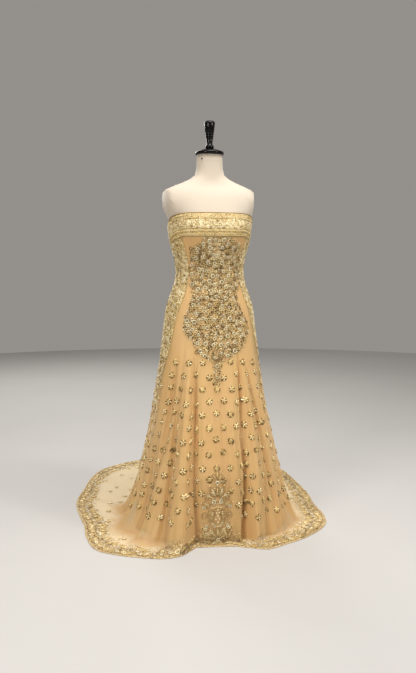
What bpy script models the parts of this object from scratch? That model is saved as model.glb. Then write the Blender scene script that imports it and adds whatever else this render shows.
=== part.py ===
"""Strapless evening gown with a train, on a limbless dress form and its stand.

Metres, +Z up. The gown's front faces -Y, and the origin is the middle of the stand's
base, on the floor. "Left" and "right" in names are those of a viewer facing the front.
A turn is an angle in degrees about +Z from the centre front: positive to the right,
180 at the centre back. The cloth is one grid of columns (turns) and rows (from the
neckline down to the floor, then out along it). Each panel is a run of its columns.
"""
import math
from collections import namedtuple

import bmesh
import bpy
import numpy as np
from mathutils import Matrix, Vector

COLLECTION = "evening_gown_on_form"

# ---- driving dimensions ------------------------------------------------------------
GAP = 0.0003            # left between neighbouring pieces
TULLE = 0.0012          # thickness of the outer layer
LINING = 0.0010         # thickness of the under layer
BAND = 0.0015           # thickness of the beaded neckline band
LACE = 0.0012           # thickness of the beaded side strips
PIPING_RADIUS = 0.0021
PIPING_END = 0.0010     # the cord stops this short of the back opening, at each side
SHARP_ANGLE = math.radians(50)
TOUCHING = 0.00005      # points nearer than this are one

WAIST = 1.047           # height of the narrowest section
FLARE_TOP = 0.26        # the skirt sweeps out to the floor from here
FLARE_SLOPE = 0.22      # metres out for each metre down, where the sweep begins
LEAST_SPREAD = 0.004    # the sweep goes out at least this far
LEAST_SWEEP = 0.3       # lower is a sharper sweep at the floor
LEAST_FLOOR_RUN = 0.008 # the cloth lies on the floor for at least this far
BAND_DEPTH = 0.092      # depth of the neckline band
LINING_HEM = 0.012      # height of the under layer's hem above the floor
SECTION_POWER = 2.15    # 2 is an ellipse, more is squarer

FORM_BOTTOM = 0.80      # underside of the dress form
NECK_TOP = 1.5165       # flat top of the neck, under its cap

# The cloth's inner side, from the neck down. ease: from there in to the dress form.
Section = namedtuple("Section", "height half_width front back ease")
FIGURE = (
    Section(NECK_TOP, 0.0565, 0.0535, 0.0575, 0.0050),
    Section(1.4600, 0.0585, 0.0535, 0.0600, 0.0050),
    Section(1.4340, 0.0655, 0.0555, 0.0660, 0.0050),
    Section(1.4180, 0.0880, 0.0560, 0.0740, 0.0050),
    Section(1.4040, 0.1180, 0.0590, 0.0840, 0.0050),
    Section(1.3900, 0.1540, 0.0640, 0.0960, 0.0050),
    Section(1.3760, 0.1850, 0.0720, 0.1060, 0.0050),
    Section(1.3600, 0.2040, 0.0820, 0.1150, 0.0050),
    Section(1.3350, 0.2100, 0.0930, 0.1210, 0.0050),
    Section(1.3050, 0.2020, 0.1040, 0.1220, 0.0050),
    Section(1.2750, 0.1800, 0.1150, 0.1190, 0.0050),
    Section(1.2500, 0.1700, 0.1230, 0.1180, 0.0050),
    Section(1.2250, 0.1670, 0.1265, 0.1160, 0.0050),
    Section(1.1900, 0.1635, 0.1240, 0.1110, 0.0050),
    Section(1.1500, 0.1545, 0.1160, 0.1040, 0.0050),
    Section(1.1000, 0.1400, 0.1050, 0.0960, 0.0045),
    Section(WAIST, 0.1345, 0.1000, 0.0915, 0.0036),
    Section(1.0050, 0.1405, 0.1040, 0.0970, 0.0045),
    Section(0.9700, 0.1520, 0.1100, 0.1080, 0.0050),
    Section(0.9250, 0.1680, 0.1170, 0.1250, 0.0050),
    Section(0.8850, 0.1775, 0.1200, 0.1360, 0.0060),
    Section(0.8500, 0.1820, 0.1240, 0.1420, 0.0095),
    Section(0.8000, 0.1880, 0.1330, 0.1520, 0.0180),
    Section(0.7000, 0.2010, 0.1540, 0.1800, 0.0300),
    Section(0.6000, 0.2175, 0.1790, 0.2130, 0.0300),
    Section(0.5000, 0.2320, 0.2050, 0.2480, 0.0300),
    Section(0.4000, 0.2510, 0.2310, 0.2880, 0.0300),
    Section(FLARE_TOP, 0.2800, 0.2660, 0.3450, 0.0300),
)

# The two soft mounds of the bust, over the sections above.
BUST_RISE = 0.010
BUST_TURN = 36.0
BUST_SPREAD = 19.0
BUST_HEIGHT = 1.205
BUST_HEIGHT_SPREAD = 0.045

# The top edge of the gown.
EdgePoint = namedtuple("EdgePoint", "turn height")
NECKLINE = (
    EdgePoint(0, 1.278),
    EdgePoint(45, 1.278),
    EdgePoint(60, 1.274),
    EdgePoint(77, 1.261),
    EdgePoint(90, 1.243),
    EdgePoint(103, 1.224),
    EdgePoint(125, 1.204),
    EdgePoint(150, 1.193),
    EdgePoint(180, 1.190),
)

# Where the cloth meets the floor, and where it ends on it, from the axis.
HemPoint = namedtuple("HemPoint", "turn touch reach")
HEM = (
    HemPoint(-180, 0.520, 1.020),
    HemPoint(-170, 0.520, 0.985),
    HemPoint(-156, 0.500, 0.918),
    HemPoint(-148, 0.480, 0.832),
    HemPoint(-137, 0.450, 0.720),
    HemPoint(-123, 0.430, 0.640),
    HemPoint(-105, 0.410, 0.552),
    HemPoint(-92, 0.400, 0.523),
    HemPoint(-80, 0.400, 0.531),
    HemPoint(-66, 0.405, 0.546),
    HemPoint(-58, 0.400, 0.523),
    HemPoint(-46, 0.370, 0.482),
    HemPoint(-35, 0.325, 0.447),
    HemPoint(-28, 0.310, 0.400),
    HemPoint(-22, 0.285, 0.312),
    HemPoint(-8, 0.280, 0.304),
    HemPoint(4, 0.280, 0.312),
    HemPoint(13, 0.290, 0.350),
    HemPoint(22, 0.310, 0.398),
    HemPoint(34, 0.325, 0.408),
    HemPoint(50, 0.340, 0.440),
    HemPoint(74, 0.375, 0.492),
    HemPoint(94, 0.385, 0.500),
    HemPoint(117, 0.420, 0.598),
    HemPoint(131, 0.450, 0.717),
    HemPoint(139, 0.470, 0.818),
    HemPoint(150, 0.490, 0.905),
    HemPoint(165, 0.510, 0.985),
    HemPoint(180, 0.520, 1.020),
)

# Folds: the turn of each one's middle at the hem and where it starts, the height where
# it starts, its reach to each side at the hem, and its rise there (a trough is below 0).
Fold = namedtuple("Fold", "hem_turn top_turn start reach_left reach_right rise")
FOLD_GROWTH = 1.2
FOLD_NARROWING = 0.4
FOLDS = (
    Fold(-29, -34, 0.76, 20, 4, 0.072),
    Fold(-43, -50, 0.84, 7, 6, -0.020),
    Fold(-57, -62, 0.72, 9, 7, 0.020),
    Fold(-72, -74, 0.62, 8, 8, -0.018),
    Fold(-88, -86, 0.66, 9, 8, 0.018),
    Fold(-106, -102, 0.70, 9, 9, -0.024),
    Fold(-122, -118, 0.74, 9, 8, 0.026),
    Fold(-139, -136, 0.80, 9, 9, -0.030),
    Fold(-157, -155, 0.82, 10, 9, 0.030),
    Fold(-173, -172, 0.84, 8, 7, -0.026),
    Fold(-9, -6, 0.52, 9, 9, 0.008),
    Fold(2, 4, 0.60, 5, 5, -0.008),
    Fold(14, 30, 0.66, 4, 3, -0.030),
    Fold(22, 38, 0.70, 6, 7, 0.020),
    Fold(34, 47, 0.68, 4, 4, -0.018),
    Fold(44, 55, 0.66, 6, 6, 0.016),
    Fold(56, 64, 0.66, 5, 5, -0.018),
    Fold(70, 74, 0.62, 8, 8, 0.016),
    Fold(86, 88, 0.66, 7, 8, -0.018),
    Fold(102, 101, 0.70, 8, 9, 0.020),
    Fold(120, 117, 0.74, 9, 9, -0.026),
    Fold(137, 134, 0.78, 9, 9, 0.028),
    Fold(154, 152, 0.82, 8, 9, -0.030),
    Fold(170, 170, 0.84, 9, 9, 0.026),
)

# Panels: grain turns at the two seams, columns between them, and the seam, if any,
# that the columns crowd towards.
CROWDING = 1.25
Panel = namedtuple("Panel", "name start end columns dense_at")
PANELS = (
    Panel("back_centre_left", -180, -148, 6, None),
    Panel("back_side_left", -148, -92, 8, None),
    Panel("front_side_left", -92, -34, 10, "end"),
    Panel("front_centre", -34, 34, 12, None),
    Panel("front_side_right", 34, 92, 10, "start"),
    Panel("back_side_right", 92, 148, 8, None),
    Panel("back_centre_right", 148, 180, 6, None),
)

# The turns that the front seams, side seams and back seams follow, at each height.
SeamLine = namedtuple("SeamLine", "height front_left front_right side back")
SEAMS = (
    SeamLine(1.278, -37.0, 37.0, 92, 140),
    SeamLine(WAIST, -34.0, 34.0, 91, 146),
    SeamLine(0.880, -32.0, 34.0, 91, 148),
    SeamLine(0.600, -30.5, 29.0, 91, 148),
    SeamLine(0.300, -27.0, 19.5, 92, 149),
    SeamLine(0.000, -24.0, 14.0, 93, 150),
)

# Rows below the band: shares of the way down to the waist, heights, then shares of the
# way out along the floor.
BAND_ROWS = 2
WAIST_SHARES = (0.36, 0.70, 1.0)
ROW_HEIGHTS = (1.000, 0.950, 0.900, 0.850, 0.790, 0.700, 0.590, 0.470, 0.350, 0.240,
               0.150, 0.080, 0.028, 0.0)
FLOOR_SHARES = (0.25, 0.5, 0.75, 1.0)

# The under layer hangs inside the outer one by this much, and its ridges are lower.
Drop = namedtuple("Drop", "height inset")
LINING_DROP = (
    Drop(1.300, 0.00037),
    Drop(0.900, 0.00037),
    Drop(0.850, 0.0030),
    Drop(0.790, 0.0080),
    Drop(0.700, 0.0120),
    Drop(FLARE_TOP, 0.0160),
)
LINING_RIDGES = 0.5
LINING_SLOPE = 0.22
LINING_HEIGHTS = (1.000, 0.950, 0.900, 0.850, 0.790, 0.700, 0.540, 0.350, 0.160,
                  LINING_HEM)

# Beaded strips over the side seams: the grain turns of the edges, at each height.
Strip = namedtuple("Strip", "height front_edge back_edge")
SIDE_STRIP = (
    Strip(1.190, 62, 118),
    Strip(1.047, 62, 116),
    Strip(0.880, 66, 110),
    Strip(0.700, 77, 101),
)
STRIP_COLUMNS = 6
STRIP_CLEARANCE = 0.0016    # the strips are stiff with beads, so they stand off the tulle
STRIP_LAST_ROW = 11     # the row where the strips end, counted from the neckline
STRIP_TOP_SHARE = 0.02  # share of their first row that is left clear under the band

# Dress form
FORM_COLUMNS = 44
FORM_HEIGHTS = (0.80, 0.83, 0.86, 0.90, 0.945, 0.985, 1.02, WAIST, 1.075, 1.11, 1.145,
                1.175, 1.20, 1.225, 1.25, 1.28, 1.31, 1.34, 1.362, 1.378, 1.392, 1.406,
                1.420, 1.436, 1.46, 1.49, NECK_TOP)
ARMHOLE_X = 0.178       # the flat armhole face passes here, at ARMHOLE_HEIGHT
ARMHOLE_HEIGHT = 1.295
ARMHOLE_FORWARD = 9.0   # degrees that the face looks forward
ARMHOLE_DOWN = 3.5      # degrees that the face looks down

# Turned pieces: (radius, height), from the top down the outer side
CAP_PROFILE = ((0.0, 0.0256), (0.0170, 0.0254), (0.0230, 0.0230), (0.0400, 0.0170),
               (0.0540, 0.0125), (0.0575, 0.0095), (0.0575, 0.0), (0.0, 0.0))
COLLAR_PROFILE = ((0.0120, 0.0120), (0.0160, 0.0110), (0.0170, 0.0090), (0.0170, 0.0010),
                  (0.0160, 0.0), (0.0, 0.0))
HANDLE_HEIGHT = 0.1090
HANDLE_ROUNDING = 0.010
ROUNDING_POWER = 0.6
GRIP_BOTTOM = 0.024
GRIP_BOTTOM_RADIUS = 0.0120
GRIP_TOP_RADIUS = 0.0222
GRIP_POWER = 0.85
GROOVE_HEIGHTS = (0.042, 0.051, 0.060)
GROOVE_DEPTH = 0.0012
GROOVE_HALF_WIDTH = 0.0014

BOSS_TOP = 0.050
BASE_PROFILE = ((0.0, BOSS_TOP), (0.027, BOSS_TOP), (0.030, 0.047), (0.030, 0.018),
                (0.036, 0.014), (0.174, 0.014), (0.180, 0.009), (0.180, 0.0), (0.0, 0.0))
POLE_RADIUS = 0.016
CAP_STEPS = 36
HANDLE_STEPS = 24
BASE_STEPS = 40
POLE_STEPS = 24

SCREW_TURN = -49.0
SCREW_HEIGHT = 1.497
SCREW_RADIUS = 0.0032
SCREW_TOP_RADIUS = 0.0026
SCREW_LENGTH = 0.0028
SCREW_STEPS = 16

# Zip at the centre back
ZIP_HEIGHT = 1.172
SLIDER_SIZE = (0.0060, 0.0016, 0.0090)      # across, thick, along the seam
TUNNEL_HEIGHT = 0.0022
TUNNEL_HALF_LENGTH = 0.0015
BRIDGE_WIDTH = 0.0016
BRIDGE_WALL = 0.0010
BRIDGE_ROOF = 0.0007
PULL_LENGTH = 0.0210
PULL_THICKNESS = 0.0010
PULL_HALF_WIDTH = 0.0027
PULL_TOP_HALF_WIDTH = 0.0022
CROSSBAR_HALF = 0.0006
WINDOW_HALF_WIDTH = 0.0013
WINDOW_BOTTOM = 0.0040

# name: red, green, blue, roughness, metallic
FINISHES = {
    "gold_tulle": (0.72, 0.46, 0.19, 0.62, 0.0),
    "nude_satin": (0.62, 0.37, 0.22, 0.50, 0.0),
    "gold_beading": (0.78, 0.56, 0.26, 0.38, 0.35),
    "old_gold_cord": (0.34, 0.22, 0.07, 0.45, 0.5),
    "brass": (0.70, 0.50, 0.22, 0.30, 1.0),
    "cream_jersey": (0.87, 0.75, 0.58, 0.75, 0.0),
    "black_lacquer": (0.010, 0.010, 0.011, 0.22, 0.0),
    "black_steel": (0.03, 0.03, 0.03, 0.45, 0.6),
}


# ---- reading the tables --------------------------------------------------------------
def smooth(table, key, value, at):
    """Value column of a table, read along a curve that never overshoots its rows."""
    rows = sorted(table, key=lambda row: getattr(row, key))
    knots = np.array([getattr(row, key) for row in rows], float)
    values = np.array([getattr(row, value) for row in rows], float)
    steps = np.diff(knots)
    slopes = np.diff(values) / steps
    before, after = slopes[:-1], slopes[1:]
    turns_back = before * after <= 0
    safe_before = np.where(turns_back, 1.0, before)
    safe_after = np.where(turns_back, 1.0, after)
    weight_a = 2 * steps[1:] + steps[:-1]
    weight_b = steps[1:] + 2 * steps[:-1]
    inner = (weight_a + weight_b) / (weight_a / safe_before + weight_b / safe_after)
    tangents = np.concatenate(([slopes[0]], np.where(turns_back, 0.0, inner), [slopes[-1]]))
    at = np.clip(np.asarray(at, float), knots[0], knots[-1])
    i = np.clip(np.searchsorted(knots, at) - 1, 0, len(steps) - 1)
    t = (at - knots[i]) / steps[i]
    rise = (values[i] * (1 + 2 * t) + steps[i] * tangents[i] * t) * (1 - t) ** 2
    return rise + (values[i + 1] * (3 - 2 * t) - steps[i] * tangents[i + 1] * (1 - t)) * t ** 2


def wrapped(turn):
    """The same turn between -180 and 180."""
    return (np.asarray(turn, float) + 180.0) % 360.0 - 180.0


def neckline_height(turn):
    return smooth(NECKLINE, "turn", "height", np.abs(wrapped(turn)))


def figure_radius(turn, height, inset=0.0):
    """From the axis to the figure, at a turn and height, less an inset."""
    angle = np.radians(turn)
    wide = smooth(FIGURE, "height", "half_width", height) - inset
    front = smooth(FIGURE, "height", "front", height)
    back = smooth(FIGURE, "height", "back", height)
    deep = np.where(np.cos(angle) > 0, front, back) - inset
    across = (np.abs(np.sin(angle)) / wide) ** SECTION_POWER
    along = (np.abs(np.cos(angle)) / deep) ** SECTION_POWER
    off_turn = (np.abs(wrapped(turn)) - BUST_TURN) / BUST_SPREAD
    off_height = (height - BUST_HEIGHT) / BUST_HEIGHT_SPREAD
    bust = BUST_RISE * np.exp(-off_turn ** 2 - off_height ** 2)
    return (across + along) ** (-1 / SECTION_POWER) + bust


def skirt_radius(turn, height):
    """Radius of the outer layer's inner side, before its folds."""
    upper = figure_radius(turn, np.maximum(height, FLARE_TOP))
    touch = smooth(HEM, "turn", "touch", wrapped(turn))
    spread = np.maximum(touch - upper, LEAST_SPREAD)
    power = np.clip(FLARE_SLOPE * FLARE_TOP / spread, LEAST_SWEEP, 1.0)
    share = (np.clip(height, 0.0, FLARE_TOP) / FLARE_TOP) ** power
    return upper + spread * (1.0 - share)


def fold_rise(turn, height, ridges=1.0):
    """How far the folds stand out of the skirt (ridges are scaled, troughs are not)."""
    total = np.zeros(np.broadcast(turn, height).shape)
    for fold in FOLDS:
        along = np.clip(height / fold.start, 0.0, 1.0)
        middle = fold.hem_turn + (fold.top_turn - fold.hem_turn) * along
        off = wrapped(turn - middle)
        reach = np.where(off < 0, fold.reach_left, fold.reach_right)
        across = np.clip(np.abs(off) / (reach * (1 - FOLD_NARROWING * along)), 0.0, 1.0)
        rise = fold.rise * (1 - along) ** FOLD_GROWTH * (1 - across ** 2) ** 2
        total += rise * (ridges if fold.rise > 0 else 1.0)
    return total


def on_circle(turn, radius, height):
    """Points from turns, radii and heights."""
    angle = np.radians(turn)
    return np.stack((radius * np.sin(angle), -radius * np.cos(angle), height), axis=-1)


# ---- the grid of columns and rows ----------------------------------------------------
def grain_columns():
    """Grain turns of all columns, and each panel's first and last column."""
    turns = [PANELS[0].start]
    spans = {}
    for panel in PANELS:
        first = len(turns) - 1
        for step in range(1, panel.columns + 1):
            share = step / panel.columns
            if panel.dense_at == "start":
                share = share ** CROWDING
            elif panel.dense_at == "end":
                share = 1.0 - (1.0 - share) ** CROWDING
            turns.append(panel.start + (panel.end - panel.start) * share)
        spans[panel.name] = (first, len(turns) - 1)
    return np.array(turns, float), spans


def seam_turns(grain, height):
    """Turn of a grain line at a height: the seams drift as the skirt widens."""
    grain, height = np.broadcast_arrays(grain, height)
    knots = np.array([panel.start for panel in PANELS] + [PANELS[-1].end], float)
    side = smooth(SEAMS, "height", "side", height)
    back = smooth(SEAMS, "height", "back", height)
    left = smooth(SEAMS, "height", "front_left", height)
    right = smooth(SEAMS, "height", "front_right", height)
    edge = np.full(height.shape, 180.0)
    lines = np.stack((-edge, -back, -side, left, right, side, back, edge), axis=-1)
    i = np.clip(np.searchsorted(knots, grain) - 1, 0, len(knots) - 2)
    t = (grain - knots[i]) / (knots[i + 1] - knots[i])
    low = np.take_along_axis(lines, i[..., None], axis=-1)[..., 0]
    high = np.take_along_axis(lines, i[..., None] + 1, axis=-1)[..., 0]
    return low + (high - low) * t


def row_heights(grain, heights):
    """Heights of the rows: the band, the way down to the waist, then the given ones."""
    top = neckline_height(grain)
    rows = [top - BAND_DEPTH * k / BAND_ROWS for k in range(BAND_ROWS + 1)]
    rows += [rows[BAND_ROWS] + (WAIST - rows[BAND_ROWS]) * share for share in WAIST_SHARES]
    rows += [np.full_like(top, height) for height in heights]
    return np.array(rows)


def outer_grid(grain):
    """The outer layer's inner side, one row of points after another."""
    heights = row_heights(grain, ROW_HEIGHTS)
    turns = seam_turns(grain[None, :], heights)
    radii = skirt_radius(turns, heights) + fold_rise(turns, heights)
    rows = [on_circle(turns, radii, heights)]
    hem_turns = turns[-1]
    reach = smooth(HEM, "turn", "reach", wrapped(hem_turns))
    run = np.maximum(reach - radii[-1], LEAST_FLOOR_RUN)
    for share in FLOOR_SHARES:
        radius = radii[-1] + run * share
        rows.append(on_circle(hem_turns, radius, np.zeros_like(radius))[None])
    return np.concatenate(rows)


def lining_grid(grain):
    """The under layer's outer side."""
    heights = row_heights(grain, LINING_HEIGHTS)
    turns = seam_turns(grain[None, :], heights)
    low = np.maximum(heights, FLARE_TOP)
    inset = smooth(LINING_DROP, "height", "inset", low)
    folds = fold_rise(turns, heights, LINING_RIDGES)
    beside = np.minimum(np.roll(folds, 1, axis=1), np.roll(folds, -1, axis=1))
    hanging = skirt_radius(turns, heights) - inset
    straight = figure_radius(turns, low) - inset + LINING_SLOPE * (low - heights)
    radii = np.minimum(hanging, straight) + np.minimum(folds, beside)
    return on_circle(turns, radii, heights)


def grid_normals(grid):
    """Outward normals of a grid that closes round the figure."""
    around = np.empty_like(grid)
    around[:, 1:-1] = grid[:, 2:] - grid[:, :-2]
    around[:, 0] = around[:, -1] = grid[:, 1] - grid[:, -2]
    down = np.gradient(grid, axis=0)
    normal = np.cross(down, around)
    return normal / np.linalg.norm(normal, axis=-1, keepdims=True)


# ---- Blender helpers -----------------------------------------------------------------
def finish(name):
    """Principled material of one finish, made once."""
    found = bpy.data.materials.get(name)
    if found:
        return found
    red, green, blue, roughness, metallic = FINISHES[name]
    material = bpy.data.materials.new(name)
    material.use_nodes = True
    shader = material.node_tree.nodes["Principled BSDF"]
    shader.inputs["Base Color"].default_value = (red, green, blue, 1.0)
    shader.inputs["Roughness"].default_value = roughness
    shader.inputs["Metallic"].default_value = metallic
    return material


def put(name, data, finish_name, location=(0, 0, 0)):
    """New object with its finish, in the gown's collection."""
    piece = bpy.data.objects.new(name, data)
    piece.location = location
    data.materials.append(finish(finish_name))
    bpy.data.collections[COLLECTION].objects.link(piece)
    return piece


def mesh_from(name, points, faces):
    mesh = bpy.data.meshes.new(name)
    mesh.from_pydata([tuple(point) for point in points], [], faces)
    mesh.shade_smooth()
    mesh.set_sharp_from_angle(angle=SHARP_ANGLE)
    return mesh


def wall(name, inner, outer, finish_name):
    """Closed wall between two grids of points of the same size."""
    rows, columns = inner.shape[:2]
    points = np.concatenate((inner.reshape(-1, 3), outer.reshape(-1, 3)))
    shift = rows * columns
    faces = []
    for row in range(rows - 1):
        for column in range(columns - 1):
            a = row * columns + column
            b, c, d = a + 1, a + columns + 1, a + columns
            on_left = inner[0, column, 0] + inner[0, column + 1, 0] < 0.0
            for first, second, third in (((a, b, d), (b, c, d)) if on_left
                                         else ((a, b, c), (a, c, d))):
                faces.append((first, third, second))
                faces.append((first + shift, second + shift, third + shift))
    top = list(range(columns))
    right = [row * columns + columns - 1 for row in range(rows)]
    for edge in (top, right, [place + (rows - 1) * columns for place in top],
                 [place - columns + 1 for place in right]):
        for a, b in zip(edge, edge[1:]):
            faces += [(a, b, b + shift), (a, b + shift, a + shift)]
    mesh = mesh_from(name, points, faces)
    solid = bmesh.new()
    solid.from_mesh(mesh)
    bmesh.ops.recalc_face_normals(solid, faces=solid.faces)
    solid.to_mesh(mesh)
    solid.free()
    return put(name, mesh, finish_name)


def seam_cut(grid, first, last, step=1):
    """Columns first to last of a grid, drawn back half a gap square to both seams."""
    part = grid[:, first:last + 1:step].copy()
    for edge, near in ((0, 1), (-1, -2)):
        inward = part[:, near] - part[:, edge]
        along = np.gradient(part[:, edge], axis=0)
        along /= np.linalg.norm(along, axis=-1, keepdims=True)
        inward -= along * np.sum(inward * along, axis=-1, keepdims=True)
        inward /= np.linalg.norm(inward, axis=-1, keepdims=True)
        part[:, edge] += inward * GAP / 2
    return part


def turned(name, profile, finish_name, steps, height):
    """Solid of revolution about Z from (radius, height) pairs, top to bottom."""
    mesh = bpy.data.meshes.new(name)
    points = [(radius, 0.0, level) for radius, level in profile]
    mesh.from_pydata(points, [(i, i + 1) for i in range(len(points) - 1)], [])
    piece = put(name, mesh, finish_name, (0, 0, height))
    screw = piece.modifiers.new("Turn", "SCREW")
    screw.steps = steps
    screw.render_steps = steps
    screw.use_merge_vertices = True
    screw.merge_threshold = TOUCHING
    screw.use_smooth_shade = True
    return piece


def block(name, size, centre, frame):
    """Box of a size, at a centre given in a tilted frame."""
    mesh = bpy.data.meshes.new(name)
    solid = bmesh.new()
    bmesh.ops.create_cube(solid, size=1.0, matrix=Matrix.Diagonal((*size, 1.0)))
    bmesh.ops.transform(solid, matrix=frame @ Matrix.Translation(centre), verts=solid.verts)
    solid.to_mesh(mesh)
    solid.free()
    return bpy.data.objects.new(name, mesh)


def cut_or_join(piece, other, operation):
    """Boolean with a guide object that isn't part of the model."""
    bpy.data.collections["cutters"].objects.link(other)
    other.hide_render = True
    other.display_type = "WIRE"
    boolean = piece.modifiers.new(other.name, "BOOLEAN")
    boolean.operation = operation
    boolean.object = other


# ---- the gown ------------------------------------------------------------------------
def make_outer_panels(grid, normals, spans):
    for panel in PANELS:
        first, last = spans[panel.name]
        inner = seam_cut(grid, first, last)
        outer = seam_cut(grid + normals * TULLE, first, last)
        wall(panel.name, inner, outer, "gold_tulle")


def make_lining(grain, spans):
    grid = lining_grid(grain)
    inner_side = grid - grid_normals(grid) * LINING
    pieces = (
        ("lining_back_left", spans["back_centre_left"][0], spans["back_side_left"][1]),
        ("lining_front", spans["front_side_left"][0], spans["front_side_right"][1]),
        ("lining_back_right", spans["back_side_right"][0], spans["back_centre_right"][1]),
    )
    for name, first, last in pieces:
        inner = seam_cut(inner_side, first, last, 2)
        outer = seam_cut(grid, first, last, 2)
        wall(name, inner, outer, "nude_satin")


def make_band(grid, normals, spans):
    """The beaded band lies on the panels' first rows, moved out."""
    top = slice(0, BAND_ROWS + 1)
    below = grid[top] + normals[top] * (TULLE + GAP)
    above = below + normals[top] * BAND
    pieces = (
        ("band_back_left", spans["back_centre_left"][0], spans["back_side_left"][1]),
        ("band_front", spans["front_side_left"][0], spans["front_side_right"][1]),
        ("band_back_right", spans["back_side_right"][0], spans["back_centre_right"][1]),
    )
    for name, first, last in pieces:
        wall(name, seam_cut(below, first, last), seam_cut(above, first, last), "gold_beading")


def make_side_lace():
    """Beaded strips over the side seams, below the band, made from the panels' rows."""
    for name, side in (("side_lace_left", -1), ("side_lace_right", 1)):
        rows = slice(BAND_ROWS, STRIP_LAST_ROW + 1)
        shares = np.linspace(0.0, 1.0, STRIP_COLUMNS + 1)
        middle = row_heights(np.array([92.0 * side]), ROW_HEIGHTS)[rows, 0]
        front_edge = smooth(SIDE_STRIP, "height", "front_edge", middle)[:, None]
        back_edge = smooth(SIDE_STRIP, "height", "back_edge", middle)[:, None]
        grain = side * (front_edge + (back_edge - front_edge) * shares[None, ::side])
        points, normals = [], []
        for row, row_grain in enumerate(grain):
            whole = outer_grid(row_grain)
            points.append(whole[BAND_ROWS + row])
            normals.append(surface_normals(whole)[BAND_ROWS + row])
        points = np.array(points)
        below = points + np.array(normals) * (TULLE + STRIP_CLEARANCE)
        below[0] += (below[1] - below[0]) * STRIP_TOP_SHARE
        above = below + np.array(normals) * LACE
        wall(name, below, above, "gold_beading")


def surface_normals(grid):
    """Outward normals of an open stretch of the surface."""
    normal = np.cross(np.gradient(grid, axis=0), np.gradient(grid, axis=1))
    return normal / np.linalg.norm(normal, axis=-1, keepdims=True)


def make_piping(grid, normals):
    """Cord along the top edge, open at the centre back."""
    middle = grid[0] + normals[0] * (TULLE + GAP) * 0.5
    middle = middle[::2].copy()
    middle[:, 2] += PIPING_RADIUS + 2 * GAP
    for end, near in ((0, 1), (-1, -2)):
        inward = middle[near] - middle[end]
        middle[end] += inward / np.linalg.norm(inward) * PIPING_END
    curve = bpy.data.curves.new("neckline_piping", "CURVE")
    curve.dimensions = "3D"
    curve.bevel_depth = PIPING_RADIUS
    curve.bevel_resolution = 0
    curve.use_fill_caps = True
    spline = curve.splines.new("POLY")
    spline.points.add(len(middle) - 1)
    for point, place in zip(spline.points, middle):
        point.co = (*place, 1.0)
    put("neckline_piping", curve, "old_gold_cord")


# ---- the zip -------------------------------------------------------------------------
def zip_frame(grid, normals):
    """Frame on the band at the centre back: X across, Y outwards, Z up along the seam."""
    line = grid[:, 0] + normals[:, 0] * (TULLE + GAP + BAND + GAP)
    heights = grid[:, 0, 2]
    place = [np.interp(ZIP_HEIGHT, heights[::-1], line[::-1, axis]) for axis in range(3)]
    outward = Vector(normals[0, 0])
    outward.x = 0.0
    outward.normalize()
    across = Vector((1.0, 0.0, 0.0))
    upward = across.cross(outward)
    frame = Matrix((across, outward, upward)).transposed().to_4x4()
    return Matrix.Translation(place) @ frame


def make_zip(grid, normals):
    """Slider with a bridge over its middle, and the pull tab whose crossbar runs in it."""
    frame = zip_frame(grid, normals)
    thick = SLIDER_SIZE[1]
    body = block("zip_slider", SLIDER_SIZE, (0, thick / 2, 0), frame)
    body.data.materials.append(finish("brass"))
    bpy.data.collections[COLLECTION].objects.link(body)
    bridge_length = 2 * (TUNNEL_HALF_LENGTH + BRIDGE_WALL)
    bridge_height = TUNNEL_HEIGHT + BRIDGE_ROOF
    sunk = thick / 2
    bridge = block("bridge", (BRIDGE_WIDTH, bridge_height + sunk, bridge_length),
                   (0, thick - sunk + (bridge_height + sunk) / 2, 0), frame)
    cut_or_join(body, bridge, "UNION")
    tunnel = block("tunnel", (BRIDGE_WIDTH * 3, TUNNEL_HEIGHT, 2 * TUNNEL_HALF_LENGTH),
                   (0, thick + TUNNEL_HEIGHT / 2, 0), frame)
    cut_or_join(body, tunnel, "DIFFERENCE")

    axis = frame @ Vector((0, thick + TUNNEL_HEIGHT / 2, 0))
    curve = bpy.data.curves.new("zip_pull", "CURVE")
    curve.dimensions = "2D"
    curve.fill_mode = "BOTH"
    curve.extrude = PULL_THICKNESS / 2
    round_centre = PULL_LENGTH - PULL_HALF_WIDTH
    outline = [(-PULL_TOP_HALF_WIDTH, CROSSBAR_HALF), (-PULL_HALF_WIDTH, -round_centre)]
    outline += [(-PULL_HALF_WIDTH * math.cos(math.radians(bend)),
                 -round_centre - PULL_HALF_WIDTH * math.sin(math.radians(bend)))
                for bend in range(30, 180, 30)]
    outline += [(PULL_HALF_WIDTH, -round_centre), (PULL_TOP_HALF_WIDTH, CROSSBAR_HALF)]
    window = [(-WINDOW_HALF_WIDTH, -CROSSBAR_HALF), (WINDOW_HALF_WIDTH, -CROSSBAR_HALF),
              (WINDOW_HALF_WIDTH, -WINDOW_BOTTOM), (-WINDOW_HALF_WIDTH, -WINDOW_BOTTOM)]
    for points in (outline, window):
        spline = curve.splines.new("POLY")
        spline.points.add(len(points) - 1)
        spline.use_cyclic_u = True
        for point, (across, along) in zip(spline.points, points):
            point.co = (across, along, 0.0, 1.0)
    pull = put("zip_pull", curve, "brass", axis)
    pull.rotation_euler = (math.radians(90), 0, 0)


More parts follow.
